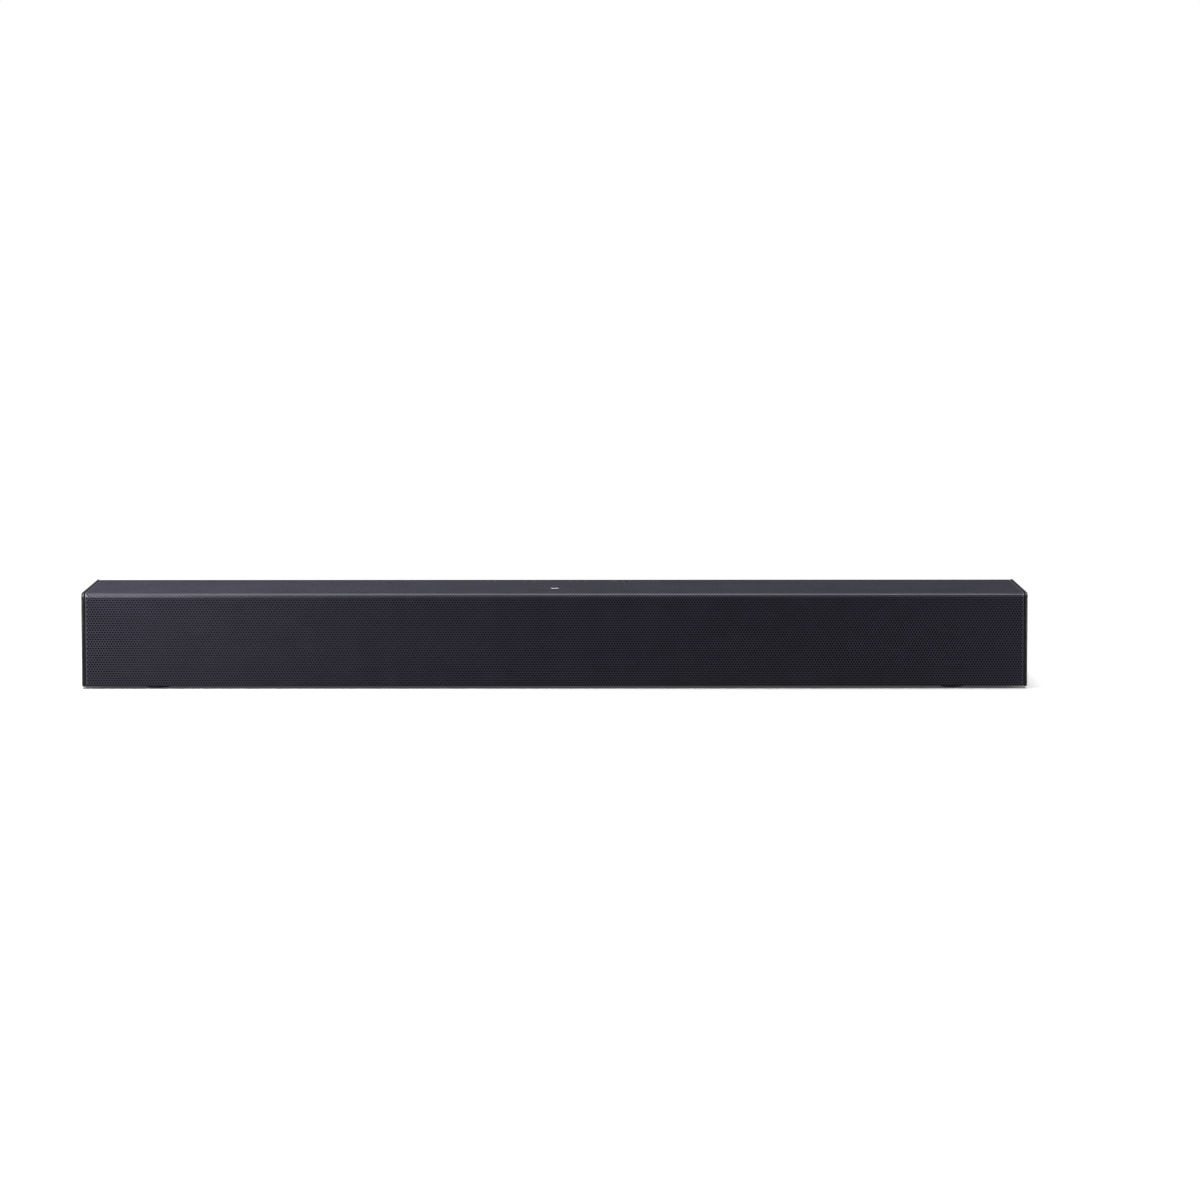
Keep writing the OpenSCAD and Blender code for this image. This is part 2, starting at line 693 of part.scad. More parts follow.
// A tube glued to the rear wall by a flange, with both of its mouths rounded
module bass_port(side) {
    tube_r = port_r + port_wall;
    flange_t = 2;
    color([0.05, 0.05, 0.05]) facing_rear(side * port_x, rear_y - port_len, mid_z) rotate_extrude()
        polygon(concat(arc(port_r + port_flare, port_flare, port_flare, 180, 270, 4),
                       [[tube_r, 0], [tube_r, port_len - wall - flange_t],
                        [tube_r + 3, port_len - wall - flange_t], [tube_r + 3, port_len - wall],
                        [tube_r, port_len - wall], [tube_r, port_len]],
                       arc(port_r + port_flare, port_len - port_flare, port_flare, 90, 180, 4)));
}
module left_bass_port() bass_port(-1);
module right_bass_port() bass_port(1);

// ---- Electronics ----

amp_at = [-45, 0];
amp_t = 1.4;
module main_board() {
    can_y = board_y0 + 20;
    color([0.05, 0.3, 0.15]) difference() {
        union() {
            box([-board_w / 2, board_y0, board_z - board_t], [board_w / 2, board_y1, board_z]);
            translate([amp_at[0] - 7, amp_at[1] - 7, board_z - eps]) cube([14, 14, amp_t + eps]);
            for (x = [22, 36])
                translate([x - 5, -6, board_z - eps]) cube([10, 10, 1 + eps]);
            for (x = [44:13:83])
                translate([x, can_y, board_z - eps]) cylinder(r = 5, h = 12 + eps);
            for (x = [-84, -72])
                translate([x - 4.5, can_y - 4.5, board_z - eps]) cube([9, 9, 5 + eps]);
            for (side = [-1, 1])
                translate([side * lead_start - 4, lead_y - 4, board_z - eps]) cube([8, 8, 6 + eps]);
            translate([-ribbon_w / 2 - 1, ribbon_y - 2, board_z - eps])
                cube([ribbon_w + 2, 4, 3 + eps]);
            translate([-1.5, indicator_y - 1.5, board_z - eps]) cube([3, 3, 0.8 + eps]);
        }
        for (spot = standoff_spots)
            hole_up(spot, board_z - board_t, screw_r + shank_gap, board_t + eps);
    }
}

module heatsink() {
    width = 44;
    depth = 30;
    fins = 8;
    fin_t = 1.6;
    color([0.7, 0.7, 0.72])
        translate([amp_at[0] - width / 2, amp_at[1] - depth / 2, board_z + amp_t]) {
            cube([width, depth, 3]);
            for (i = [0:fins - 1])
                translate([i * (width - fin_t) / (fins - 1), 0, 3 - eps]) cube([fin_t, depth, 11]);
        }
}

// A socket's body stands on the board and its mouth faces the rear
module socket_body(at, depth) {
    box([at[0] - at[1] / 2, socket_y - depth, board_z],
        [at[0] + at[1] / 2, socket_y, board_z + at[2]]);
}

module dc_jack() {
    centre = board_z + 5.8;
    color([0.04, 0.04, 0.04]) {
        difference() {
            socket_body(dc_jack_at, 14);
            facing_rear(dc_jack_at[0], socket_y - 9.5, centre) cylinder(r = 3.15, h = 10);
        }
        facing_rear(dc_jack_at[0], socket_y - 9.5 - eps, centre) cylinder(r = 1, h = 9);
    }
}

module aux_jack() {
    color([0.1, 0.35, 0.15]) difference() {
        socket_body(aux_jack_at, 13);
        facing_rear(aux_jack_at[0], socket_y - 12, board_z + aux_jack_at[2] / 2)
            cylinder(r = aux_r, h = 12 + eps);
    }
}

// A sheet-metal shell with a contact tongue inside
module shell_socket(at, depth, tongue_w, tongue_t, tongue_z) {
    sheet = 0.4;
    difference() {
        socket_body(at, depth);
        box([at[0] - at[1] / 2 + sheet, socket_y - depth + 1, board_z + sheet],
            [at[0] + at[1] / 2 - sheet, socket_y + eps, board_z + at[2] - sheet]);
    }
    box([at[0] - tongue_w / 2, socket_y - depth + eps, board_z + tongue_z - tongue_t / 2],
        [at[0] + tongue_w / 2, socket_y - 1, board_z + tongue_z + tongue_t / 2]);
}
module usb_socket() color([0.75, 0.75, 0.77]) shell_socket(usb_socket_at, 13, 11.1, 1.8, 4);
module hdmi_socket() color([0.75, 0.75, 0.77]) shell_socket(hdmi_socket_at, 12, 11.6, 1, 3);

shutter_pin_r = 0.6;
shutter_w = 8;
optical_hole = 8.4;
shutter_pin_z = board_z + optical_socket_at[2] / 2 + optical_hole / 2 - shutter_pin_r - 0.3;
shutter_pin_y = socket_y - 0.4 - shutter_pin_r;
module optical_socket() {
    centre = board_z + optical_socket_at[2] / 2;
    half = optical_hole / 2;
    at = optical_socket_at[0];
    color([0.03, 0.03, 0.03]) difference() {
        socket_body(optical_socket_at, 14);
        box([at - half, socket_y - 10, centre - half], [at + half, socket_y + eps, centre + half]);
        facing_rear(at, socket_y - 12.5, centre) cylinder(r = 1.1, h = 4);
        translate([at - half - 0.7, shutter_pin_y, shutter_pin_z]) rotate([0, 90, 0])
            cylinder(r = shutter_pin_r + 0.05, h = optical_hole + 1.4);
    }
}

// The flap hangs from its two pins and swings inwards
module optical_shutter() {
    flap_low = board_z + optical_socket_at[2] / 2 - optical_hole / 2 + 0.3;
    at = optical_socket_at[0];
    color([0.2, 0.2, 0.2]) {
        box([at - shutter_w / 2, shutter_pin_y - 0.3, flap_low],
            [at + shutter_w / 2, shutter_pin_y + 0.3, shutter_pin_z]);
        translate([at - shutter_w / 2, shutter_pin_y, shutter_pin_z]) rotate([0, 90, 0])
            cylinder(r = shutter_pin_r, h = shutter_w);
        translate([at - optical_hole / 2 - 0.5, shutter_pin_y, shutter_pin_z]) rotate([0, 90, 0])
            cylinder(r = shutter_pin_r, h = optical_hole + 1);
    }
}

module button_board() {
    color([0.05, 0.3, 0.15]) difference() {
        union() {
            box([-button_board_w / 2, button_board_front, button_board_z - board_t],
                [button_board_w / 2, button_y + 8, button_board_z]);
            translate([-ribbon_w / 2 - 1, button_board_front, button_board_z - board_t - 3])
                cube([ribbon_w + 2, 4, 3 + eps]);
        }
        for (spot = hanger_spots)
            hole_up(spot, button_board_z - board_t, screw_r + shank_gap, board_t + eps);
    }
}

module tact_switches() {
    color([0.5, 0.5, 0.52]) for (i = [-1.5:1:1.5])
        translate([i * button_pitch, button_y, button_board_z]) {
            translate([-3, -3, 0]) cube([6, 6, switch_h]);
            translate([0, 0, switch_h - eps]) cylinder(r = 1.7, h = plunger_h + eps);
        }
}

// The receiver stands at the front edge of the main board and looks out of the baffle's window
ir_x = 20;
ir_z = board_z + 6;
module ir_receiver() {
    body_y = board_y0 - 1;
    color([0.1, 0.07, 0.1]) {
        box([ir_x - 3, body_y, board_z], [ir_x + 3, body_y + 4, ir_z + 3.5]);
        translate([ir_x, body_y, ir_z]) sphere(r = 2.5);
    }
}

// A clear bar that carries light from the main board up to the slot in the grille
module indicator_light_guide() {
    collar = 1.5;
    color([0.9, 0.92, 0.95]) {
        box([-indicator_w / 2, indicator_y - indicator_d / 2, board_z + 1.2],
            [indicator_w / 2, indicator_y + indicator_d / 2, top_z]);
        box([-indicator_w / 2 - collar, indicator_y - indicator_d / 2 - collar, ceiling_z - collar],
            [indicator_w / 2 + collar, indicator_y + indicator_d / 2 + collar, ceiling_z]);
    }
}

// ---- Buttons ----

// A cap that slides in the top cover, with a flange that stops it and a stem for its switch
module button(i) {
    flange_z0 = button_flange_z - button_flange_t;
    color([0.06, 0.06, 0.07]) translate([i * button_pitch, button_y, 0]) {
        translate([0, 0, flange_z0])
            cylinder(r = button_dia / 2, h = top_z + button_proud - flange_z0);
        translate([0, 0, flange_z0]) cylinder(r = button_dia / 2 + 1, h = button_flange_t);
        translate([0, 0, stem_z]) cylinder(r = 1.5, h = button_flange_z - stem_z);
    }
}
module button_power() button(-1.5);
module button_source() button(-0.5);
module button_volume_down() button(0.5);
module button_volume_up() button(1.5);

// ---- Wiring ----

lead_r = 1.3;
lead_y = 8;
lead_z = board_z + 14;
lead_start = 88;

// A wire through a list of points, as straight stretches with round joints
module wire(points, r) {
    for (i = [0:len(points) - 2])
        hull() {
            translate(points[i]) sphere(r = r, $fn = 10);
            translate(points[i + 1]) sphere(r = r, $fn = 10);
        }
}

module speaker_leads() {
    tab_end = woofer_x - woofer_frame / 2 - 2 - lead_r - 0.1;
    tab_y = driver_y + 4.5;
    cup_end = tweeter_x - 5;
    cup_y = baffle_y1 + cup_depth + lead_r + 0.1;
    woofer_rear = driver_y + magnet_y0 + magnet_t + yoke_t;
    color([0.5, 0.05, 0.05]) for (side = [-1, 1]) mirror([side < 0 ? 1 : 0, 0, 0]) {
        wire([[lead_start, lead_y, board_z + 7.4], [lead_start, lead_y, lead_z],
              [bulkhead_x + 8, lead_y, lead_z], [tab_end - 6, woofer_rear, mid_z],
              [tab_end, tab_y + 6, mid_z], [tab_end, tab_y, mid_z]], lead_r);
        wire([[bulkhead_x + 8, lead_y, lead_z], [woofer_x, woofer_rear + 5, mid_z + 8],
              [cup_end, cup_y + 6, mid_z + 4], [cup_end, cup_y, mid_z]], lead_r);
    }
}

ribbon_w = 10;
ribbon_y = 20;
module ribbon_cable() {
    thick = 0.6;
    upper_y = button_board_front + 2;
    upper_z = button_board_z - board_t - 3;
    lower_z = board_z + 3;
    mid = (upper_z + lower_z) / 2;
    path = [[upper_y, upper_z], [upper_y, upper_z - 2], [ribbon_y, mid], [ribbon_y, lower_z]];
    color([0.85, 0.85, 0.85]) along_x(-ribbon_w / 2, ribbon_w / 2)
        polygon(concat([for (p = path) p - [thick / 2, 0]],
                       reverse([for (p = path) p + [thick / 2, 0]])));
}

// ---- Feet, inserts and screws ----

module rubber_feet() {
    color([0.08, 0.08, 0.08]) for (x = [-foot_x, foot_x], y = [-foot_y, foot_y])
        translate([x, y, 0]) {
            cylinder(r = foot_r, h = base_z + foot_recess);
        }
}

module wall_mount_inserts() {
    color([0.8, 0.62, 0.3]) for (side = [-1, 1])
        facing_rear(side * mount_span / 2, rear_y - insert_len, insert_z) difference() {
            cylinder(r = insert_r, h = insert_len);
            translate([0, 0, -eps]) cylinder(r = insert_hole_r, h = insert_len + 2 * eps);
        }
}

module cabinet_screws() {
    color([0.3, 0.3, 0.32]) for (spot = concat(top_boss_spots, rear_lug_spots, cap_lug_spots))
        translate([spot[0], spot[1], base_z + head_h + 0.1]) screw(8);
}

module driver_screws() {
    color([0.3, 0.3, 0.32]) for (side = [-1, 1]) {
        for (dx = [-1, 1], dy = [-1, 1])
            at_woofer(side) translate([dx * woofer_screw, dy * woofer_screw, frame_t])
                rotate([180, 0, 0]) screw(frame_t + gasket_t + baffle_t - 0.8);
        for (dy = [-1, 1])
            at_tweeter(side) translate([0, dy * tweeter_screw, tweeter_flange_t])
                rotate([180, 0, 0]) screw(tweeter_flange_t + baffle_t - 0.8);
    }
}

module board_screws() {
    color([0.7, 0.7, 0.72]) {
        for (spot = standoff_spots)
            translate([spot[0], spot[1], board_z]) rotate([180, 0, 0]) screw(board_t + 5);
        for (spot = hanger_spots)
            translate([spot[0], spot[1], button_board_z - board_t]) screw(board_t + 4);
    }
}

front_grille();
grille_cloth();
top_cover();
front_baffle();
bottom_cover();
rear_cover();
left_end_cap();
right_end_cap();
left_bulkhead();
right_bulkhead();
left_woofer_basket();
left_woofer_gasket();
left_woofer_surround();
left_woofer_cone();
left_woofer_voice_coil();
left_woofer_spider();
left_woofer_top_plate();
left_woofer_magnet();
left_woofer_yoke();
right_woofer_basket();
right_woofer_gasket();
right_woofer_surround();
right_woofer_cone();
right_woofer_voice_coil();
right_woofer_spider();
right_woofer_top_plate();
right_woofer_magnet();
right_woofer_yoke();
left_tweeter_housing();
left_tweeter_magnet();
left_tweeter_dome();
right_tweeter_housing();
right_tweeter_magnet();
right_tweeter_dome();
left_bass_port();
right_bass_port();
main_board();
heatsink();
dc_jack();
aux_jack();
usb_socket();
hdmi_socket();
optical_socket();
optical_shutter();
button_board();
tact_switches();
ir_receiver();
indicator_light_guide();
button_power();
button_source();
button_volume_down();
button_volume_up();
speaker_leads();
ribbon_cable();
rubber_feet();
wall_mount_inserts();
cabinet_screws();
driver_screws();
board_screws();
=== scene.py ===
import math
import bpy
import numpy as np
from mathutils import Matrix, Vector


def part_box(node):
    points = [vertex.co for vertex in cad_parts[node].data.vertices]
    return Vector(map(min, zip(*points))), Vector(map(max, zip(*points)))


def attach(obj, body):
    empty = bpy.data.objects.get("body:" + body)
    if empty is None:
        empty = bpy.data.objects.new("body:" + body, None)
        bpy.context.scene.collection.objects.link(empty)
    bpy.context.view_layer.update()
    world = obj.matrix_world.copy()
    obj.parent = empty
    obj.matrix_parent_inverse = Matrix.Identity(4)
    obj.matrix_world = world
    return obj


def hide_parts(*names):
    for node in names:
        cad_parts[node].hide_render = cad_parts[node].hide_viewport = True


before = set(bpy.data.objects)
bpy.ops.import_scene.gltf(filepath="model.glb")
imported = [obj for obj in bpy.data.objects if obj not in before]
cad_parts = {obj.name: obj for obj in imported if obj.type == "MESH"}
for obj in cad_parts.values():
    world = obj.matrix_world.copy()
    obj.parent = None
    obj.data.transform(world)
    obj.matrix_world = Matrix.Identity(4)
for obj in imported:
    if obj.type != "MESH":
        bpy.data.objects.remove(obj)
bpy.context.view_layer.update()
print("frame loaded with", len(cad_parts), "nodes")


# camera, light and floor

cameraSetup = {"place": (0.0100, -3.1654, 0.3423), "lens": 138.7, "sensor": 36, "reach": 100,
               "pitch": 5.175, "turn": 0.378}

lamps = {
    "overhead": {"place": (0, 0, 3), "aim": (0, 0, 0), "power": 2.8, "angle": 36},
    "keyLeft": {"place": (-0.36, -0.26, 0.32), "aim": (-0.27, -0.05, 0.04),
                "power": 1.2, "size": 0.12},
    "rimLeft": {"place": (-0.62, -0.15, 0.045), "aim": (-0.32, -0.05, 0.033),
                "power": 0.5, "size": 0.08},
    "rimRight": {"place": (0.62, -0.15, 0.045), "aim": (0.32, -0.05, 0.033),
                 "power": 0.7, "size": 0.08},
}

# the floor bounces less light than it shows, as a small sheet of paper does, and glows a little
studio = {"backdrop": (1, 1, 1, 1), "ambient": 0.13, "floorSeen": (1, 1, 1, 1),
          "floorBounce": (0.18, 0.18, 0.18, 1), "floorGlow": 0.06, "floorRough": 0.9,
          "floorShine": 0.1, "floorHalf": 30}


def aimed(place, aim):
    # rotation whose -Z runs from place to aim
    line = np.array(aim, float) - np.array(place, float)
    return math.atan2(math.hypot(line[0], line[1]), -line[2]), 0, math.atan2(-line[0], line[1])


def makeCamera(setup):
    data = bpy.data.cameras.new("camera")
    data.lens = setup["lens"]
    data.sensor_width = setup["sensor"]
    data.clip_end = setup["reach"]
    camera = bpy.data.objects.new("camera", data)
    camera.location = setup["place"]
    camera.rotation_euler = (math.radians(90 - setup["pitch"]), 0, math.radians(-setup["turn"]))
    bpy.context.collection.objects.link(camera)
    bpy.context.scene.camera = camera


def makeLamp(name, setup):
    data = bpy.data.lights.new(name, "AREA" if "size" in setup else "SUN")
    data.energy = setup["power"]
    if "size" in setup:
        data.size = setup["size"]
    else:
        data.angle = math.radians(setup["angle"])
    lamp = bpy.data.objects.new(name, data)
    lamp.location = setup["place"]
    lamp.rotation_euler = aimed(setup["place"], setup["aim"])
    lamp.visible_camera = False
    bpy.context.collection.objects.link(lamp)


def setInputs(tree, node, values):
    # values are numbers, colours or other nodes' outputs, by input name or number
    for name, value in values.items():
        if isinstance(value, bpy.types.NodeSocket):
            tree.links.new(value, node.inputs[name])
        else:
            node.inputs[name].default_value = value


def addNode(tree, kind, values=None, **settings):
    node = tree.nodes.new("ShaderNode" + kind)
    for name, value in settings.items():
        setattr(node, name, value)
    setInputs(tree, node, values or {})
    return node


def mixColour(tree, factor, first, second):
    node = addNode(tree, "Mix", {0: factor, 6: first, 7: second}, data_type="RGBA")
    return node.outputs[2]


def makeStudio(setup):
    world = bpy.data.worlds.new("studio")
    bpy.context.scene.world = world
    world.use_nodes = True
    tree = world.node_tree
    tree.nodes.clear()
    seen, fill = (addNode(tree, "Background", {"Color": setup["backdrop"], "Strength": strength})
                  for strength in (1.0, setup["ambient"]))
    toCamera = addNode(tree, "LightPath").outputs["Is Camera Ray"]
    mix = addNode(tree, "MixShader", {0: toCamera, 1: fill.outputs[0], 2: seen.outputs[0]})
    addNode(tree, "OutputWorld", {"Surface": mix.outputs[0]})

    half = setup["floorHalf"]
    mesh = bpy.data.meshes.new("floor")
    corners = [(-half, -half, 0), (half, -half, 0), (half, half, 0), (-half, half, 0)]
    mesh.from_pydata(corners, [], [(0, 1, 2, 3)])
    floor = bpy.data.objects.new("floor", mesh)
    bpy.context.collection.objects.link(floor)
    paper = bpy.data.materials.new("studioPaper")
    paper.use_nodes = True
    tree = paper.node_tree
    toCamera = addNode(tree, "LightPath").outputs["Is Camera Ray"]
    shade = mixColour(tree, toCamera, setup["floorBounce"], setup["floorSeen"])
    setInputs(tree, tree.nodes["Principled BSDF"], {
        "Base Color": shade, "Roughness": setup["floorRough"], "Specular IOR Level": setup["floorShine"],
        "Emission Color": (1, 1, 1, 1), "Emission Strength": setup["floorGlow"]})
    mesh.materials.append(paper)


makeCamera(cameraSetup)
for lampName, lampSetup in lamps.items():
    makeLamp(lampName, lampSetup)
makeStudio(studio)
bpy.context.scene.view_settings.view_transform = "Standard"
print("camera, lamps and floor are set")


# effects shared by the finishes

def makeGroup(name, inputs, outputs):
    # a shader group with its sockets: (name, kind, default) each
    tree = bpy.data.node_groups.new(name, "ShaderNodeTree")
    for label, kind, value in inputs:
        socket = tree.interface.new_socket(label, in_out="INPUT", socket_type="NodeSocket" + kind)
        if value is not None:
            socket.default_value = value
    for label, kind in outputs:
        tree.interface.new_socket(label, in_out="OUTPUT", socket_type="NodeSocket" + kind)
    return tree, tree.nodes.new("NodeGroupInput").outputs, tree.nodes.new("NodeGroupOutput").inputs


def maths(tree, operation, first, second=0.0, clamp=False):
    node = addNode(tree, "Math", {0: first, 1: second}, operation=operation, use_clamp=clamp)
    return node.outputs[0]


def times(tree, first, second, clamp=False):
    return maths(tree, "MULTIPLY", first, second, clamp)


def ramp(tree, value, low, high, toLow=0.0, toHigh=1.0):
    # value from low..high is carried to toLow..toHigh and held there
    return addNode(tree, "MapRange", {"Value": value, "From Min": low, "From Max": high,
                                      "To Min": toLow, "To Max": toHigh}).outputs[0]


def noise(tree, where, scale, detail=3.0, roughness=0.5):
    return addNode(tree, "TexNoise", {"Vector": where, "Scale": scale, "Detail": detail,
                                      "Roughness": roughness}).outputs[0]


def bumped(tree, height, distance, normal=None):
    # the normal, tilted by a height that runs from 0 to distance
    values = {"Height": height, "Distance": distance}
    if normal is not None:
        values["Normal"] = normal
    return addNode(tree, "Bump", values).outputs[0]


def parted(tree, vector):
    return addNode(tree, "SeparateXYZ", {0: vector}).outputs


def buildMouldedGrain():
    # spark-eroded plastic: small soft cells with finer grit on them, and slow patches of gloss
    tree, given, out = makeGroup(
        "mouldedGrain",
        [("Where", "Vector", None), ("Cells per metre", "Float", 2500.0)],
        [("Height", "Float"), ("Patches", "Float")])
    cells = addNode(tree, "TexVoronoi", {"Vector": given["Where"], "Scale": given["Cells per metre"]},
                    feature="SMOOTH_F1")
    grit = noise(tree, given["Where"], times(tree, given["Cells per metre"], 2.3), 2.0)
    high, low = times(tree, cells.outputs[0], 0.8), times(tree, grit, 0.5)
    tree.links.new(maths(tree, "ADD", high, low), out["Height"])
    tree.links.new(ramp(tree, noise(tree, given["Where"], 34.0, 4.0), 0.3, 0.7), out["Patches"])
    return tree


def buildSoftEdge():
    # the surface normal rounded over near an edge, and how much it differs from the flat one
    tree, given, out = makeGroup(
        "softEdge",
        [("Where", "Vector", None), ("Radius", "Float", 0.0005),
         ("Breaks per metre", "Float", 160.0)],
        [("Normal", "Vector"), ("Rubbed and highlit", "Float")])
    rounded = addNode(tree, "Bevel", {"Radius": given["Radius"]}, samples=4)
    flat = addNode(tree, "NewGeometry")
    along = addNode(tree, "VectorMath", {0: rounded.outputs[0], 1: flat.outputs["Normal"]},
                    operation="DOT_PRODUCT")
    edge = ramp(tree, along.outputs["Value"], 0.995, 0.86)
    breaks = ramp(tree, noise(tree, given["Where"], given["Breaks per metre"], 5.0), 0.42, 0.66)
    tree.links.new(rounded.outputs[0], out["Normal"])
    # the broken-up edge mask: rubbed wear, and on the end caps a painted highlight
    tree.links.new(times(tree, edge, breaks, True), out["Rubbed and highlit"])
    return tree


def buildSettledDust():
    # dust lies where the surface looks up, in uneven drifts with single flecks
    tree, given, out = makeGroup(
        "settledDust",
        [("Where", "Vector", None), ("Amount", "Float", 0.1)],
        [("Mask", "Float")])
    facing = parted(tree, addNode(tree, "NewGeometry").outputs["Normal"])
    up = ramp(tree, facing["Z"], -0.2, 1.0, 0.18, 1.0)
    drifts = ramp(tree, noise(tree, given["Where"], 26.0, 6.0, 0.62), 0.38, 0.74)
    flecks = ramp(tree, noise(tree, given["Where"], 1900.0, 1.0), 0.71, 0.77)
    both = maths(tree, "ADD", drifts, times(tree, flecks, 2.5))
    lying = times(tree, both, up)
    tree.links.new(times(tree, lying, given["Amount"], True), out["Mask"])
    return tree


def buildPlainWeave():
    # over-and-under threads: each thread is a half sine across, and they trade places square by square
    tree, given, out = makeGroup(
        "plainWeave",
        [("Across", "Float", 0.0), ("Along", "Float", 0.0),
         ("Threads per metre", "Float", 2200.0)],
        [("Height", "Float"), ("Shade", "Float")])
    waves = []
    for axis in ("Across", "Along"):
        threads = times(tree, given[axis], given["Threads per metre"])
        waves.append(maths(tree, "SINE", times(tree, threads, math.pi)))
    over = maths(tree, "GREATER_THAN", times(tree, *waves), 0.0)
    first = times(tree, maths(tree, "ABSOLUTE", waves[0]), over)
    under = maths(tree, "SUBTRACT", 1.0, over)
    second = times(tree, maths(tree, "ABSOLUTE", waves[1]), under)
    height = maths(tree, "ADD", first, second)
    tree.links.new(height, out["Height"])
    # the shade output is painted shade: darker where the threads dip into the gaps
    tree.links.new(ramp(tree, height, 0.0, 1.0, 0.35, 1.0), out["Shade"])
    return tree


def buildBrushedLines():
    # fine parallel scratches: noise drawn out along one axis, with a few deeper ones
    tree, given, out = makeGroup(
        "brushedLines",
        [("Where", "Vector", None), ("Stretch", "Vector", (1.0, 1.0, 1.0))],
        [("Height", "Float"), ("Streaks", "Float")])
    drawn = addNode(tree, "VectorMath", {0: given["Where"], 1: given["Stretch"]}, operation="MULTIPLY")
    fine = noise(tree, drawn.outputs[0], 1.0, 5.0, 0.7)
    deep = ramp(tree, noise(tree, drawn.outputs[0], 0.31, 2.0), 0.58, 0.64)
    tree.links.new(maths(tree, "SUBTRACT", fine, times(tree, deep, 0.4)), out["Height"])
    tree.links.new(ramp(tree, fine, 0.3, 0.7), out["Streaks"])
    return tree


mouldedGrain = buildMouldedGrain()
softEdge = buildSoftEdge()
settledDust = buildSettledDust()
plainWeave = buildPlainWeave()
brushedLines = buildBrushedLines()


def useGroup(tree, group, values):
    return addNode(tree, "Group", values, node_tree=group).outputs


print("shared effects are built")


# finishes, one for each slot of the part

finishes = {}


def startFinish(name, shine, plain=None):
    # shine is the specular level, and plain holds other constant values of the shader, by socket name
    material = bpy.data.materials.new(name)
    material.use_nodes = True
    tree = material.node_tree
    shader = tree.nodes["Principled BSDF"]
    setInputs(tree, shader, {"Specular IOR Level": shine, **(plain or {})})
    where = addNode(tree, "TexCoord").outputs["Object"]
    return material, tree, shader, where


dustColour = (0.30, 0.29, 0.27, 1)


def dustyColour(tree, where, colour, amount):
    dust = useGroup(tree, settledDust, {"Where": where, "Amount": amount})["Mask"]
    return mixColour(tree, dust, colour, dustColour), dust


paint = {
    "colour": (0.059, 0.0570, 0.087, 1), "deep": (0.050, 0.0480, 0.074, 1), "rough": (0.38, 0.48),
    "grit": 3600.0, "gritHeight": 0.000012, "peel": 420.0, "peelHeight": 0.00001, "dust": 0.035,
    "shine": 0.52,
}


def paintFinish(name, setup):
    # satin powder paint: fine grit over a slower orange peel, and a slightly uneven tone
    material, tree, shader, where = startFinish(name, setup["shine"])
    tone = ramp(tree, noise(tree, where, 55.0, 5.0, 0.6), 0.35, 0.65)
    grit = noise(tree, where, setup["grit"], 2.0)
    colour = mixColour(tree, tone, setup["deep"], setup["colour"])
    colour, dust = dustyColour(tree, where, colour, setup["dust"])
    rough = ramp(tree, grit, 0.35, 0.65, *setup["rough"])
    peel = bumped(tree, noise(tree, where, setup["peel"], 1.0), setup["peelHeight"])
    setInputs(tree, shader, {"Base Color": colour,
                             "Roughness": maths(tree, "ADD", rough, times(tree, dust, 0.8)),
                             "Normal": bumped(tree, grit, setup["gritHeight"], peel)})
    return material


plastics = {
    "shell_plastic": {"colour": (0.008, 0.008, 0.009), "rough": 0.62, "cells": 2600, "height": 0.000022,
                      "shine": 0.2},
    "inner_plastic": {"colour": (0.013, 0.013, 0.013), "rough": 0.60, "cells": 1800, "height": 0.00002},
    "rear_plastic": {"colour": (0.018, 0.018, 0.0195), "rough": 0.55, "cells": 2200, "height": 0.000035,
                     "dust": 0.03, "rub": 0.0007, "shine": 0.25},
    # the end caps' paler edges are a painted highlight along their rounded front edges
    "end_cap_plastic": {"colour": (0.007, 0.007, 0.0078), "rough": 0.33, "cells": 3600, "height": 0.000006,
                        "coat": 0.2, "dust": 0.02, "rub": 0.0004, "shine": 0.5},
    "port_plastic": {"colour": (0.012, 0.012, 0.012), "rough": 0.38, "cells": 2600, "height": 0.000012,
                     "dust": 0.08},
    "socket_plastic": {"colour": (0.011, 0.011, 0.011), "rough": 0.42, "cells": 5200, "height": 0.000008,
                       "rub": 0.0002},
    "aux_plastic": {"colour": (0.035, 0.20, 0.055), "rough": 0.42, "cells": 5200, "height": 0.000008,
                    "rub": 0.0002},
    "shutter_plastic": {"colour": (0.035, 0.035, 0.037), "rough": 0.5, "cells": 6000, "height": 0.00001},
    "switch_plastic": {"colour": (0.16, 0.16, 0.17), "rough": 0.45, "cells": 4500, "height": 0.00001},
    "button_plastic": {"colour": (0.011, 0.0105, 0.0125), "rough": 0.46, "cells": 4200, "height": 0.00001,
                       "dust": 0.04},
    "lead_jacket": {"colour": (0.22, 0.016, 0.014), "rough": 0.40, "cells": 2400, "height": 0.000012},
    "foot_rubber": {"colour": (0.020, 0.020, 0.020), "rough": 0.80, "cells": 2800, "height": 0.00003,
                    "dust": 0.25},
    "surround_rubber": {"colour": (0.012, 0.012, 0.012), "rough": 0.55, "cells": 3200, "height": 0.000015,
                        "dust": 0.05},
    "gasket_foam": {"colour": (0.03, 0.03, 0.032), "rough": 0.95, "cells": 2600, "height": 0.00018},
    "basket_paint": {"colour": (0.018, 0.018, 0.019), "rough": 0.36, "cells": 3000, "height": 0.000012,
                     "rub": 0.0004},
    "ferrite": {"colour": (0.030, 0.028, 0.028), "rough": 0.62, "cells": 3800, "height": 0.00004},
}


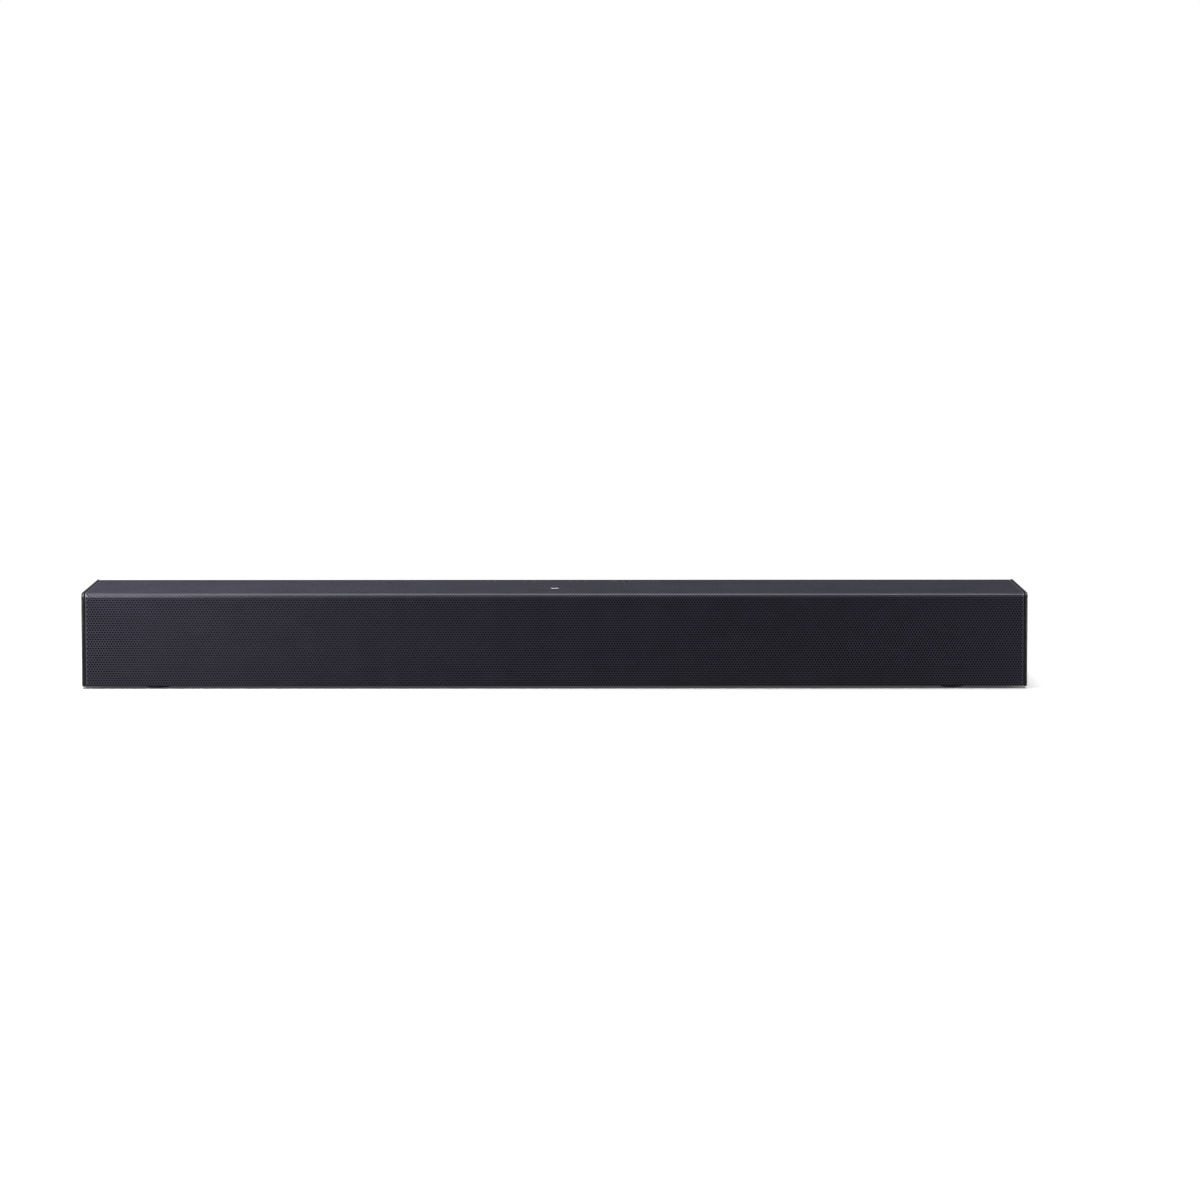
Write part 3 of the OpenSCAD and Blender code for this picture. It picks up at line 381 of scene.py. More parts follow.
def plasticFinish(name, setup):
    # moulded grain, patches of gloss, dust on what looks up, and paler edges: rubbed wear, and on the end
    # caps a painted highlight along their rounded front edges
    base = (*setup["colour"], 1)
    pale = tuple(min(1.0, 1.9 * c + 0.012) for c in setup["colour"]) + (1,)
    shine = setup.get("shine", 0.35)
    material, tree, shader, where = startFinish(name, shine, {"Coat Roughness": 0.12})
    grain = useGroup(tree, mouldedGrain, {"Where": where, "Cells per metre": float(setup["cells"])})
    colour = mixColour(tree, ramp(tree, grain["Patches"], 0.0, 1.0, 0.0, 0.22), base, pale)
    rough = ramp(tree, grain["Patches"], 0.0, 1.0, setup["rough"] - 0.05, setup["rough"] + 0.07)
    normal = None
    if "rub" in setup:
        edge = useGroup(tree, softEdge, {"Where": where, "Radius": setup["rub"]})
        # paler edges: rubbed wear, and on the end caps a painted highlight
        colour = mixColour(tree, times(tree, edge["Rubbed and highlit"], 0.55), colour, pale)
        rough = maths(tree, "SUBTRACT", rough, times(tree, edge["Rubbed and highlit"], 0.12))
        normal = edge["Normal"]
    if "dust" in setup:
        colour, dust = dustyColour(tree, where, colour, setup["dust"])
        rough = maths(tree, "ADD", rough, times(tree, dust, 0.7), True)
    if "coat" in setup:
        coat = ramp(tree, grain["Patches"], 0.0, 1.0, setup["coat"], setup["coat"] * 0.6)
        setInputs(tree, shader, {"Coat Weight": coat})
    setInputs(tree, shader, {"Base Color": colour, "Roughness": rough,
                             "Normal": bumped(tree, grain["Height"], setup["height"], normal)})
    return material


metals = {
    "bare_aluminium": {"colour": (0.72, 0.72, 0.74), "rough": 0.34,
                       "stretch": (900, 90, 900), "height": 0.00001},
    "plated_shell": {"colour": (0.70, 0.69, 0.67), "rough": 0.24,
                     "stretch": (300, 2600, 2600), "height": 0.000004},
    "insert_brass": {"colour": (0.72, 0.47, 0.17), "rough": 0.30,
                     "stretch": (1800, 400, 1800), "height": 0.00001},
    "black_steel": {"colour": (0.055, 0.055, 0.060), "rough": 0.40,
                    "stretch": (2400, 2400, 900), "height": 0.00001},
    "zinc_steel": {"colour": (0.55, 0.56, 0.58), "rough": 0.33,
                   "stretch": (1500, 700, 1500), "height": 0.00001},
    "magnet_nickel": {"colour": (0.62, 0.60, 0.56), "rough": 0.22,
                      "stretch": (1600, 400, 1600), "height": 0.000005},
    "coil_copper": {"colour": (0.62, 0.25, 0.10), "rough": 0.30,
                    "stretch": (60, 9000, 60), "height": 0.00003},
    "dome_metal": {"colour": (0.38, 0.38, 0.40), "rough": 0.30,
                   "stretch": (900, 900, 900), "height": 0.000004},
}

metalEdge = 0.0002  # radius of the rounding that shows on metal edges


def metalFinish(name, setup):
    # drawn or turned metal: scratches that change the gloss, with duller and browner patches
    base = (*setup["colour"], 1)
    dull = tuple(c * s for c, s in zip(setup["colour"], (0.70, 0.66, 0.60))) + (1,)
    material, tree, shader, where = startFinish(name, 0.5, {"Metallic": 1.0})
    lines = useGroup(tree, brushedLines, {"Where": where, "Stretch": setup["stretch"]})
    stains = ramp(tree, noise(tree, where, 140.0, 5.0, 0.65), 0.48, 0.75)
    rough = ramp(tree, lines["Streaks"], 0.0, 1.0, setup["rough"] - 0.08, setup["rough"] + 0.10)
    rough = maths(tree, "ADD", rough, times(tree, stains, 0.15), True)
    edge = useGroup(tree, softEdge, {"Where": where, "Radius": metalEdge})
    setInputs(tree, shader, {"Base Color": mixColour(tree, stains, base, dull), "Roughness": rough,
                             "Normal": bumped(tree, lines["Height"], setup["height"], edge["Normal"])})
    return material


# gap is the colour of the painted shade between the threads
cloths = {
    "acoustic_cloth": {"colour": (0.010, 0.010, 0.0115), "gap": (0.002, 0.002, 0.002),
                       "threads": 2400.0, "height": 0.00012},
    "spider_cloth": {"colour": (0.42, 0.30, 0.14), "gap": (0.16, 0.10, 0.04),
                     "threads": 1800.0, "height": 0.0001},
}


def clothFinish(name, setup):
    # plain weave with fuzz, and painted shade in the gaps between the threads
    material, tree, shader, where = startFinish(name, 0.25, {"Sheen Weight": 0.25})
    spot = parted(tree, where)
    weave = useGroup(tree, plainWeave, {"Across": spot["X"], "Along": spot["Z"],
                                        "Threads per metre": setup["threads"]})
    fuzz = noise(tree, where, setup["threads"] * 2.0, 3.0)
    shade = times(tree, weave["Shade"], ramp(tree, fuzz, 0.3, 0.7, 0.7, 1.15), True)
    setInputs(tree, shader, {
        "Base Color": mixColour(tree, shade, (*setup["gap"], 1), (*setup["colour"], 1)),
        "Roughness": ramp(tree, fuzz, 0.3, 0.7, 0.82, 0.98),
        "Normal": bumped(tree, weave["Height"], setup["height"])})
    return material


boardLook = {
    "mask": (0.008, 0.075, 0.035, 1), "trace": (0.018, 0.135, 0.060, 1), "bare": (0.55, 0.50, 0.36, 1),
    "lanes": 620.0, "blocks": 90.0, "dots": 210.0, "height": 0.00003,
}


def boardFinish(name, setup):
    # solder mask over copper lanes, which change direction block by block, with bare tinned dots
    material, tree, shader, where = startFinish(name, 0.55)
    spot = parted(tree, where)
    blocks = addNode(tree, "TexVoronoi", {"Vector": where, "Scale": setup["blocks"]},
                     distance="CHEBYCHEV")
    turn = maths(tree, "GREATER_THAN", parted(tree, blocks.outputs["Color"])["X"], 0.5)
    run = addNode(tree, "Mix", {0: turn, 2: spot["X"], 3: spot["Y"]}, data_type="FLOAT").outputs[0]
    lanes = maths(tree, "SINE", times(tree, run, setup["lanes"] * 2 * math.pi))
    trace = ramp(tree, lanes, 0.1, 0.3)
    dots = addNode(tree, "TexVoronoi", {"Vector": where, "Scale": setup["dots"]})
    pad = ramp(tree, dots.outputs["Distance"], 0.13, 0.10)
    laid = mixColour(tree, trace, setup["mask"], setup["trace"])
    setInputs(tree, shader, {
        "Base Color": mixColour(tree, pad, laid, setup["bare"]),
        "Roughness": ramp(tree, noise(tree, where, 240.0, 3.0), 0.3, 0.7, 0.28, 0.44),
        "Metallic": times(tree, pad, 0.8),
        "Normal": bumped(tree, maths(tree, "ADD", trace, pad), setup["height"])})
    return material


coneLook = {"pulp": (0.022, 0.021, 0.020, 1), "fibre": (0.060, 0.056, 0.050, 1),
            "fibres": 1500.0, "height": 0.00005}


def coneFinish(name, setup):
    # pressed paper: short fibres at all angles in a matt pulp
    material, tree, shader, where = startFinish(name, 0.3)
    bent = noise(tree, where, 300.0, 2.0)
    fibres = addNode(tree, "TexVoronoi", {"Vector": where, "Scale": setup["fibres"]},
                     feature="DISTANCE_TO_EDGE")
    fibre = ramp(tree, fibres.outputs["Distance"], 0.06, 0.0)
    shade = times(tree, fibre, ramp(tree, bent, 0.3, 0.7, 0.2, 0.9))
    setInputs(tree, shader, {"Base Color": mixColour(tree, shade, setup["pulp"], setup["fibre"]),
                             "Roughness": ramp(tree, bent, 0.3, 0.7, 0.78, 0.92),
                             "Normal": bumped(tree, fibre, setup["height"])})
    return material


ribbonLook = {"film": (0.66, 0.66, 0.64, 1), "wire": (0.40, 0.41, 0.42, 1),
              "pitch": 1000.0, "height": 0.00006}


def ribbonFinish(name, setup):
    # flat film with one ridge for each conductor
    material, tree, shader, where = startFinish(name, 0.5)
    spot = parted(tree, where)
    phase = times(tree, spot["X"], setup["pitch"] * math.pi)
    ridge = maths(tree, "ABSOLUTE", maths(tree, "SINE", phase))
    smudge = noise(tree, where, 260.0, 4.0)
    wire = ramp(tree, ridge, 0.2, 0.8)
    setInputs(tree, shader, {"Base Color": mixColour(tree, wire, setup["film"], setup["wire"]),
                             "Roughness": ramp(tree, smudge, 0.3, 0.7, 0.28, 0.46),
                             "Normal": bumped(tree, ridge, setup["height"])})
    return material


windowLook = {"colour": (0.022, 0.004, 0.010, 1), "haze": (0.040, 0.010, 0.020, 1), "height": 0.00001}


def windowFinish(name, setup):
    # dark red receiver resin with a faint cloudy flow
    material, tree, shader, where = startFinish(name, 0.6)
    flow = noise(tree, where, 420.0, 4.0)
    cloud = ramp(tree, flow, 0.35, 0.7)
    setInputs(tree, shader, {"Base Color": mixColour(tree, cloud, setup["colour"], setup["haze"]),
                             "Roughness": ramp(tree, flow, 0.3, 0.7, 0.08, 0.2),
                             "Normal": bumped(tree, flow, setup["height"])})
    return material


guideLook = {"body": (0.80, 0.82, 0.86, 1), "lit": (0.90, 0.93, 1.0, 1), "glow": 2.2,
             "litFrom": 0.0634, "fade": 0.004, "height": 0.00001}


def guideFinish(name, setup):
    # frosted acrylic that glows towards its upper end, with a faint mottled frosting
    material, tree, shader, where = startFinish(name, 0.5, {"Emission Strength": setup["glow"]})
    spot = parted(tree, where)
    frost = noise(tree, where, 2600.0, 3.0)
    lit = ramp(tree, spot["Z"], setup["litFrom"] - setup["fade"], setup["litFrom"])
    glow = times(tree, lit, ramp(tree, frost, 0.3, 0.7, 0.85, 1.0))
    setInputs(tree, shader, {"Base Color": mixColour(tree, frost, setup["body"], setup["lit"]),
                             "Emission Color": mixColour(tree, glow, (0, 0, 0, 1), setup["lit"]),
                             "Roughness": ramp(tree, frost, 0.3, 0.7, 0.35, 0.5),
                             "Normal": bumped(tree, frost, setup["height"])})
    return material


finishes["perforated_steel"] = paintFinish("graphitePaint", paint)
for looks, makeFinish in ((plastics, plasticFinish), (metals, metalFinish), (cloths, clothFinish)):
    for slotName, look in looks.items():
        finishes[slotName] = makeFinish(slotName + "Look", look)
finishes["circuit_board"] = boardFinish("solderMask", boardLook)
finishes["cone_paper"] = coneFinish("pressedPaper", coneLook)
finishes["ribbon_film"] = ribbonFinish("ribbonFilm", ribbonLook)
finishes["ir_window"] = windowFinish("receiverResin", windowLook)
finishes["clear_guide"] = guideFinish("frostedGuide", guideLook)

# every carried-over piece takes the finish of its own slot
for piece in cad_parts.values():
    for place, old in enumerate(piece.data.materials):
        piece.data.materials[place] = finishes[old.name.split(".")[0]]
print("finishes are on", len(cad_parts), "nodes")


# meshes from arrays

def addPiece(name, mesh, slotName, body, stands=(), look=None):
    mesh.materials.append(look or finishes[slotName])
    piece = bpy.data.objects.new(name, mesh)
    bpy.context.collection.objects.link(piece)
    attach(piece, body)
    if stands:
        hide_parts(*stands)


def quadMesh(name, points, faces):
    # points (n, 3) and four-cornered faces (m, 4), all smooth
    mesh = bpy.data.meshes.new(name)
    mesh.vertices.add(len(points))
    mesh.vertices.foreach_set("co", np.ascontiguousarray(points, np.float32).ravel())
    mesh.loops.add(faces.size)
    mesh.loops.foreach_set("vertex_index", faces.astype(np.int32).ravel())
    mesh.polygons.add(len(faces))
    mesh.polygons.foreach_set("loop_start", np.arange(0, faces.size, 4, dtype=np.int32))
    mesh.polygons.foreach_set("use_smooth", np.ones(len(faces), bool))
    mesh.update(calc_edges=True)
    return mesh


def ringMesh(name, stacks, sharpAt):
    # each stack is m closed loops of n points, an array (m, n, 3). Its first and last loop shrink to their
    # mean point, which closes the ends.
    points, faces = [], []
    for rings in stacks:
        m, n, _ = rings.shape
        base = len(points)
        one = np.arange(n)
        two = (one + 1) % n
        row = n * np.arange(m - 3)[:, None]
        last = n * (m - 3)
        quads = np.stack([row + one, row + two, row + n + two, row + n + one], -1).reshape(-1, 4)
        firstEnd = np.stack([np.full(n, last + n), two, one], 1)
        lastEnd = np.stack([np.full(n, last + n + 1), last + one, last + two], 1)
        for part in (quads, firstEnd, lastEnd):
            faces += (part + base).tolist()
        points += rings[1:-1].reshape(-1, 3).tolist() + rings[[0, -1]].mean(1).tolist()
    mesh = bpy.data.meshes.new(name)
    mesh.from_pydata(points, [], faces)
    mesh.shade_smooth()
    mesh.set_sharp_from_angle(angle=math.radians(sharpAt))
    return mesh


def turned(profile, centres, sides):
    # profile rows are (radius, height): point = centre + (radius cos t, radius sin t, height)
    profile = np.array(profile)
    t = np.arange(sides) * 2 * math.pi / sides
    ring = np.stack([profile[:, :1] * np.cos(t), profile[:, :1] * np.sin(t),
                     np.repeat(profile[:, 1:], sides, 1)], -1)
    return ring[None] + np.array(centres)[:, None, None]


def roundOver(x, y, radius, start, end, steps=5):
    # points of an arc about (x, y), angles in degrees
    a = np.radians(np.linspace(start, end, steps))
    return np.stack([x + radius * np.cos(a), y + radius * np.sin(a)], 1).tolist()


# perforated sheet

sheet = {
    "thickness": 0.0008, "bend": 0.004, "fold": 0.0014, "flange": 0.006, "returnLip": 0.0024,
    "pitch": 0.0018, "holeRadius": 0.00070, "sideMargin": 0.0002, "edgeMargin": 0.0001, "panels": 7,
    "foldSteps": 5, "collar": 0.0008, "buttonHole": 0.0046, "slotCore": (0.0024, 0.0005),
    "slotRound": 0.0002,
}
buttonKeys = ("power", "source", "volume_down", "volume_up")
grilleLow, grilleHigh = (np.array(corner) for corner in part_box("front_grille"))
quarter = math.pi / 2
# length and radius of each stretch of the folded section, from the flange to the rear lip; 0 is straight
stretches = [
    (sheet["flange"] - sheet["fold"], 0),
    (sheet["fold"] * quarter, sheet["fold"]),
    (grilleHigh[2] - grilleLow[2] - sheet["fold"] - sheet["bend"], 0),
    (sheet["bend"] * quarter, sheet["bend"]),
    (grilleHigh[1] - grilleLow[1] - sheet["fold"] - sheet["bend"], 0),
    (sheet["fold"] * quarter, sheet["fold"]),
    (sheet["returnLip"] - sheet["fold"], 0),
]
begins = np.concatenate([[0], np.cumsum([length for length, _ in stretches])])


def foldedSheet(u, v, depth):
    # u runs along the bar and v along the folded section. From the end of the flange, each stretch adds
    # its length along the heading, or, where it turns, its radius times the change in sine and cosine of
    # the heading. The point then goes in by depth, against the normal.
    y = np.full(v.shape, grilleLow[1] + sheet["flange"])
    z = np.full(v.shape, grilleLow[2])
    heading = np.full(v.shape, math.pi)
    start = math.pi
    for (length, radius), begin in zip(stretches, begins):
        s = np.clip(v - begin, 0, length)
        if radius:
            now = start - s / radius
            y += radius * (math.sin(start) - np.sin(now))
            z += radius * (np.cos(now) - math.cos(start))
            heading -= s / radius
            start -= quarter
        else:
            y += s * math.cos(start)
            z += s * math.sin(start)
    return np.stack([u, y + depth * np.sin(heading), z - depth * np.cos(heading)], -1)


# openings in the sheet: centre on the sheet, half sizes of a core box and the radius round it
openings = []


def addOpening(node, core, radius):
    low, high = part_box(node)
    along = (low[1] + high[1]) / 2 - grilleLow[1] - sheet["bend"]
    openings.append({"at": ((low[0] + high[0]) / 2, begins[4] + along), "core": core, "radius": radius})


for key in buttonKeys:
    addOpening("button_" + key, (0, 0), sheet["buttonHole"])
addOpening("indicator_light_guide", sheet["slotCore"], sheet["slotRound"])


def sheetGrid():
    # lines of the grid across and along the sheet, the number of cells and of rows of holes between the
    # margins, and the first line that has holes. A row is as high as an even-sided triangle of one pitch.
    pitch = sheet["pitch"]
    rowStep = pitch * math.sqrt(3) / 2
    width = grilleHigh[0] - grilleLow[0]
    across = 2 * int((width - 2 * sheet["sideMargin"]) / pitch + 1e-6)
    middle = (np.arange(across + 1) - across / 2) * pitch / 2
    low, high = begins[1] + sheet["edgeMargin"], begins[5] - sheet["edgeMargin"]
    rows = int((high - low) / rowStep)
    low = (low + high - rows * rowStep) / 2
    under = np.array([0, begins[1]])
    over = np.concatenate([np.linspace(begins[5], begins[6], sheet["foldSteps"]), [begins[7]]])
    us = np.concatenate([[grilleLow[0]], middle, [grilleHigh[0]]])
    vs = np.concatenate([under, low + np.arange(2 * rows + 1) * rowStep / 2, over])
    return us, vs, across, rows, len(under)


def cutOpenings(us, vs):
    # cells near an opening are cut out, and the points round them go in a loop by their angle
    cellU, cellV = np.meshgrid((us[1:] + us[:-1]) / 2, (vs[1:] + vs[:-1]) / 2, indexing="ij")
    cut = np.zeros(cellU.shape, bool)
    loops = []
    for opening in openings:
        (atU, atV), (coreU, coreV) = opening["at"], opening["core"]
        awayU = np.maximum(abs(cellU - atU) - coreU, 0)
        awayV = np.maximum(abs(cellV - atV) - coreV, 0)
        near = np.hypot(awayU, awayV) < opening["radius"] + sheet["collar"]
        cut |= near
        padded = np.pad(near, 1).astype(int)
        touching = padded[1:, 1:] + padded[:-1, 1:] + padded[1:, :-1] + padded[:-1, :-1]
        column, line = np.nonzero((touching > 0) & (touching < 4))
        order = np.argsort(np.arctan2(vs[line] - atV, us[column] - atU))
        loops.append((column[order], line[order]))
    return cut, loops


holeSteps = ((0, 0), (1, 0), (0, 1), (1, 1))  # from the first of a hole's four cells to each of them


def holeCells(across, rows, firstLine, cut):
    # column and line of each hole's first cell, every other row moved by half a pitch, without the holes
    # that an opening touches
    column, row = np.meshgrid(np.arange(across // 2), np.arange(rows), indexing="ij")
    column, row = column.ravel(), row.ravel()
    column, line = 1 + 2 * column + row % 2, firstLine + 2 * row
    inside = column + 1 <= across
    column, line = column[inside], line[inside]
    clear = ~np.any([cut[column + right, line + up] for right, up in holeSteps], axis=0)
    return column[clear], line[clear]


def addPoints(parts, plane, chart, depth, onRim):
    # plane is where the points lie on the unfolded sheet, and chart where they lie in its flat layout
    first = sum(len(block) for block in parts["plane"])
    parts["plane"].append(plane)
    parts["chart"].append(chart)
    parts["depth"].append(np.full(len(plane), depth))
    parts["rim"].append(np.full(len(plane), onRim))
    return first + np.arange(len(plane))


def addFaces(parts, faces, columns):
    parts["faces"].append(faces)
    parts["owner"].append(columns)


def addRings(parts, outer, centres, front, columns):
    # outer (h, n) are grid points and front (h, n, 2) the rims of h openings. Each opening gets a ring of
    # faces from its outer points to its rim, and a wall whose far points lie straight behind the rim.
    h, n = outer.shape
    flat = front.reshape(-1, 2)
    inner = centres[:, None] + 0.5 * (front - centres[:, None])
    near = addPoints(parts, flat, flat, 0.0, True).reshape(h, n)
    far = addPoints(parts, flat, inner.reshape(-1, 2), sheet["thickness"], False).reshape(h, n)
    for a, b in ((outer, near), (near, far)):
        quads = np.stack([a, np.roll(a, -1, 1), np.roll(b, -1, 1), b], -1)
        addFaces(parts, quads.reshape(-1, 4), np.repeat(columns, n))


def addEdge(parts, us, vs):
    # the cut edge all round, as deep as the sheet is thick
    columns, lines = len(us) - 1, len(vs) - 1
    column = np.concatenate([np.arange(columns), np.full(lines, columns),
                             np.arange(columns, 0, -1), np.zeros(lines, int)])
    line = np.concatenate([np.zeros(columns, int), np.arange(lines),
                           np.full(columns, lines), np.arange(lines, 0, -1)])
    edge = column * len(vs) + line
    out = np.stack([(column == columns).astype(float) - (column == 0),
                    (line == lines).astype(float) - (line == 0)], 1)
    onEdge = np.stack([us[column], vs[line]], 1)
    parts["rim"][0][edge] = True
    lip = addPoints(parts, onEdge, onEdge + sheet["thickness"] * out, sheet["thickness"], False)
    owner = np.minimum(column, np.roll(column, -1))
    addFaces(parts, np.stack([np.roll(edge, -1), edge, lip, np.roll(lip, -1)], 1), owner)


def addPanels(parts, columns):
    # each panel is a run of columns, with its rims sharp and the unfolded sheet as its flat layout
    plane, chart, depth, rim, faces, owner = (np.concatenate(block) for block in parts.values())
    points = foldedSheet(plane[:, 0], plane[:, 1], depth)
    perPanel = math.ceil(columns / sheet["panels"] / 2) * 2
    margin = 0.01
    for panel in range(sheet["panels"]):
        mine = faces[owner // perPanel == panel]
        used, mapped = np.unique(mine, return_inverse=True)
        mesh = quadMesh("grillePanel", points[used], mapped.reshape(-1, 4))
        ends = np.zeros(len(mesh.edges) * 2, np.int32)
        mesh.edges.foreach_get("vertices", ends)
        onRim = rim[used][ends.reshape(-1, 2)].all(1)
        mesh.attributes.new("sharp_edge", "BOOLEAN", "EDGE").data.foreach_set("value", onRim)
        flat = chart[used]
        flat = margin + (1 - 2 * margin) * (flat - flat.min(0)) / np.ptp(flat, axis=0)
        layer = mesh.uv_layers.new(name="OFBake")
        layer.uv.foreach_set("vector", flat[mapped.reshape(-1)].astype(np.float32).ravel())
        addPiece("grille_panel_%d" % (panel + 1), mesh, "perforated_steel", "cabinet", ["front_grille"])
        print("grille panel", panel + 1, "has", 2 * len(mine), "triangles")


def buildSheet():
    # The sheet is a grid with two cells across and two up for each hole. A hole's four cells become a ring
    # of quads from their outer points to the hole's rim. Cells with no hole are plain quads.
    us, vs, across, rows, firstLine = sheetGrid()
    cut, loops = cutOpenings(us, vs)
    column, line = holeCells(across, rows, firstLine, cut)
    stride = len(vs)
    parts = {"plane": [], "chart": [], "depth": [], "rim": [], "faces": [], "owner": []}
    gridU, gridV = np.meshgrid(us, vs, indexing="ij")
    grid = np.stack([gridU.ravel(), gridV.ravel()], 1)
    addPoints(parts, grid, grid, 0.0, False)

    # the eight points round a hole's cells, from the lower left, and the points of its rim that face them
    steps = np.array([(0, 0), (1, 0), (2, 0), (2, 1), (2, 2), (1, 2), (0, 2), (0, 1)])
    outer = (column[:, None] + steps[:, 0]) * stride + line[:, None] + steps[:, 1]
    centres = np.stack([us[column + 1], vs[line + 1]], 1)
    a = np.radians(225 + 45 * np.arange(8))
    front = centres[:, None] + sheet["holeRadius"] * np.stack([np.cos(a), np.sin(a)], 1)
    addRings(parts, outer, centres, front, column)

    taken = cut.copy()
    for right, up in holeSteps:
        taken[column + right, line + up] = True
    for opening, (column, line) in zip(openings, loops):
        away = np.stack([us[column], vs[line]], 1) - opening["at"]
        core = np.clip(away, -np.array(opening["core"]), opening["core"])
        outward = (away - core) / np.linalg.norm(away - core, axis=1)[:, None]
        front = opening["at"] + core + opening["radius"] * outward
        outer = (column * stride + line)[None]
        addRings(parts, outer, np.array([opening["at"]]), front[None], column.min()[None])

    column, line = np.nonzero(~taken)
    at = column * stride + line
    addFaces(parts, np.stack([at, at + stride, at + stride + 1, at + 1], 1), column)
    addEdge(parts, us, vs)
    addPanels(parts, len(us) - 1)


buildSheet()


# end caps

endCap = {"cornerRadius": 0.0015, "frontTopRadius": 0.0043, "edgeRound": 0.0010, "seamRound": 0.0006,
          "cornerSteps": 10, "sideSteps": 14, "thickness": 0.0022, "faceInset": 0.004,
          "seamInset": 0.0018, "edgeInset": 0.0014, "leastRadius": 0.00005}


def capOutline(low, high, inset):
    # rounded rectangle in (Y, Z), run once round: four corner arcs joined by straight sides, all moved in
    # by inset, with the arcs' centres held until an arc has its least radius
    small, big, least = endCap["cornerRadius"], endCap["frontTopRadius"], endCap["leastRadius"]
    corners = [(high[1] - small, low[2] + small, small, 270),
               (high[1] - small, high[2] - small, small, 0),
               (low[1] + big, high[2] - big, big, 90),
               (low[1] + small, low[2] + small, small, 180)]
    arcs = []
    for cy, cz, radius, begin in corners:
        a = np.radians(np.linspace(begin, begin + 90, endCap["cornerSteps"]))
        outward = math.radians(begin + 45)
        reach = max(radius - inset, least)
        extra = min(radius - inset - least, 0)
        y = cy + reach * np.cos(a) + extra * math.copysign(1, math.cos(outward))
        z = cz + reach * np.sin(a) + extra * math.copysign(1, math.sin(outward))
        arcs.append(np.stack([y, z], 1))
    t = np.linspace(0, 1, endCap["sideSteps"])[1:-1, None]
    joined = []
    for arc, following in zip(arcs, arcs[1:] + arcs[:1]):
        joined += [arc, arc[-1] * (1 - t) + following[0] * t]
    return np.concatenate(joined)


def buildEndCap(side, node, name):
    # a stack of outlines from the inner face to the outer one: each is moved in by its inset at its
    # distance from the inner face, so that the edges come out rounded
    low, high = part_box(node)
    r, s, t = endCap["edgeRound"], endCap["seamRound"], endCap["thickness"]
    inner = (high[0] if side > 0 else low[0]) - side * t
    face = endCap["faceInset"]
    section = [(0, face), (0, face), (0, endCap["seamInset"]), (0, s), (s * 0.3, s * 0.3), (s, 0)]
    section += [(t - r + r * math.sin(x), r - r * math.cos(x)) for x in np.linspace(0, quarter, 7)]
    section += [(t, endCap["edgeInset"]), (t, face), (t, face)]
    rings = []
    for distance, inset in section:
        outline = capOutline(low, high, inset)
        rings.append(np.column_stack([np.full(len(outline), inner + side * distance), outline]))
    rings = np.array(rings)[:, ::side]
    addPiece(name, ringMesh(name, [rings], 50), "end_cap_plastic", "cabinet", [node])


buildEndCap(-1, "left_end_cap", "cap_left")
buildEndCap(1, "right_end_cap", "cap_right")
print("end caps are built")


# buttons and their marks

button = {"radius": 0.0043, "rim": 0.0005, "wallStop": 0.001, "dish": 0.00022, "dishRadius": 0.0036,
          "dishSteps": 14, "flangeRadius": 0.0053, "flangeThick": 0.001, "stemRadius": 0.0015,
          "stemLength": 0.005, "stemChamfer": 0.0002, "sides": 72}


def buttonTop(radius, top):
    # a shallow dish: the top less the dish's depth times one minus the square of the radius over the
    # dish's radius, to the power of one and a half
    share = np.clip(radius / button["dishRadius"], 0, 1)
    return top - button["dish"] * (1 - share ** 2) ** 1.5


def buildButton(node, body):
    # a turned profile: stem, flange, straight wall, rounded rim and dish
    low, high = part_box(node)
    bottom, top = low[2], high[2]
    x, y = (low[0] + high[0]) / 2, (low[1] + high[1]) / 2
    flange = bottom + button["stemLength"]
    under = flange - button["flangeThick"]
    stem, chamfer, r, rim = button["stemRadius"], button["stemChamfer"], button["radius"], button["rim"]
    profile = [(0, bottom), (stem - chamfer, bottom), (stem, bottom + chamfer), (stem, under),
               (button["flangeRadius"], under), (button["flangeRadius"], flange), (r, flange),
               (r, top - rim - button["wallStop"])]
    profile += roundOver(r - rim, top - rim, rim, 0, 90, 7)
    radii = np.linspace(button["dishRadius"], 0, button["dishSteps"])
    profile += list(zip(radii, buttonTop(radii, top)))
    rings = turned(profile, [(x, y, 0)], button["sides"])
    addPiece(body + "_cap", ringMesh(node, rings, 40), "button_plastic", body, [node])
    return x, y, top


markLook = {"colour": (0.30, 0.30, 0.32, 1), "worn": (0.16, 0.16, 0.17, 1), "height": 0.000008}
stroke = {"width": 0.00034, "height": 0.00002, "sunk": 0.00003, "stagger": 0.2}
millimetre = 0.001


def markFinish(name, setup):
    # pale printed ink with small worn gaps
    material, tree, shader, where = startFinish(name, 0.35)
    worn = ramp(tree, noise(tree, where, 5200.0, 4.0), 0.52, 0.68)
    setInputs(tree, shader, {"Base Color": mixColour(tree, worn, setup["colour"], setup["worn"]),
                             "Roughness": ramp(tree, worn, 0.0, 1.0, 0.5, 0.62),
                             "Normal": bumped(tree, worn, setup["height"])})
    return material


def arcLine(radius, start, end, steps=28):
    a = np.radians(np.linspace(start, end, steps))
    return np.stack([radius * np.cos(a), radius * np.sin(a)], 1)


def straight(*corners, steps=8):
    # evenly spaced points along straight runs between the corners
    t = np.linspace(0, 1, steps)[:, None]
    runs = [np.array(a) * (1 - t) + np.array(b) * t for a, b in zip(corners[:-1], corners[1:])]
    return np.concatenate([run if i == 0 else run[1:] for i, run in enumerate(runs)])


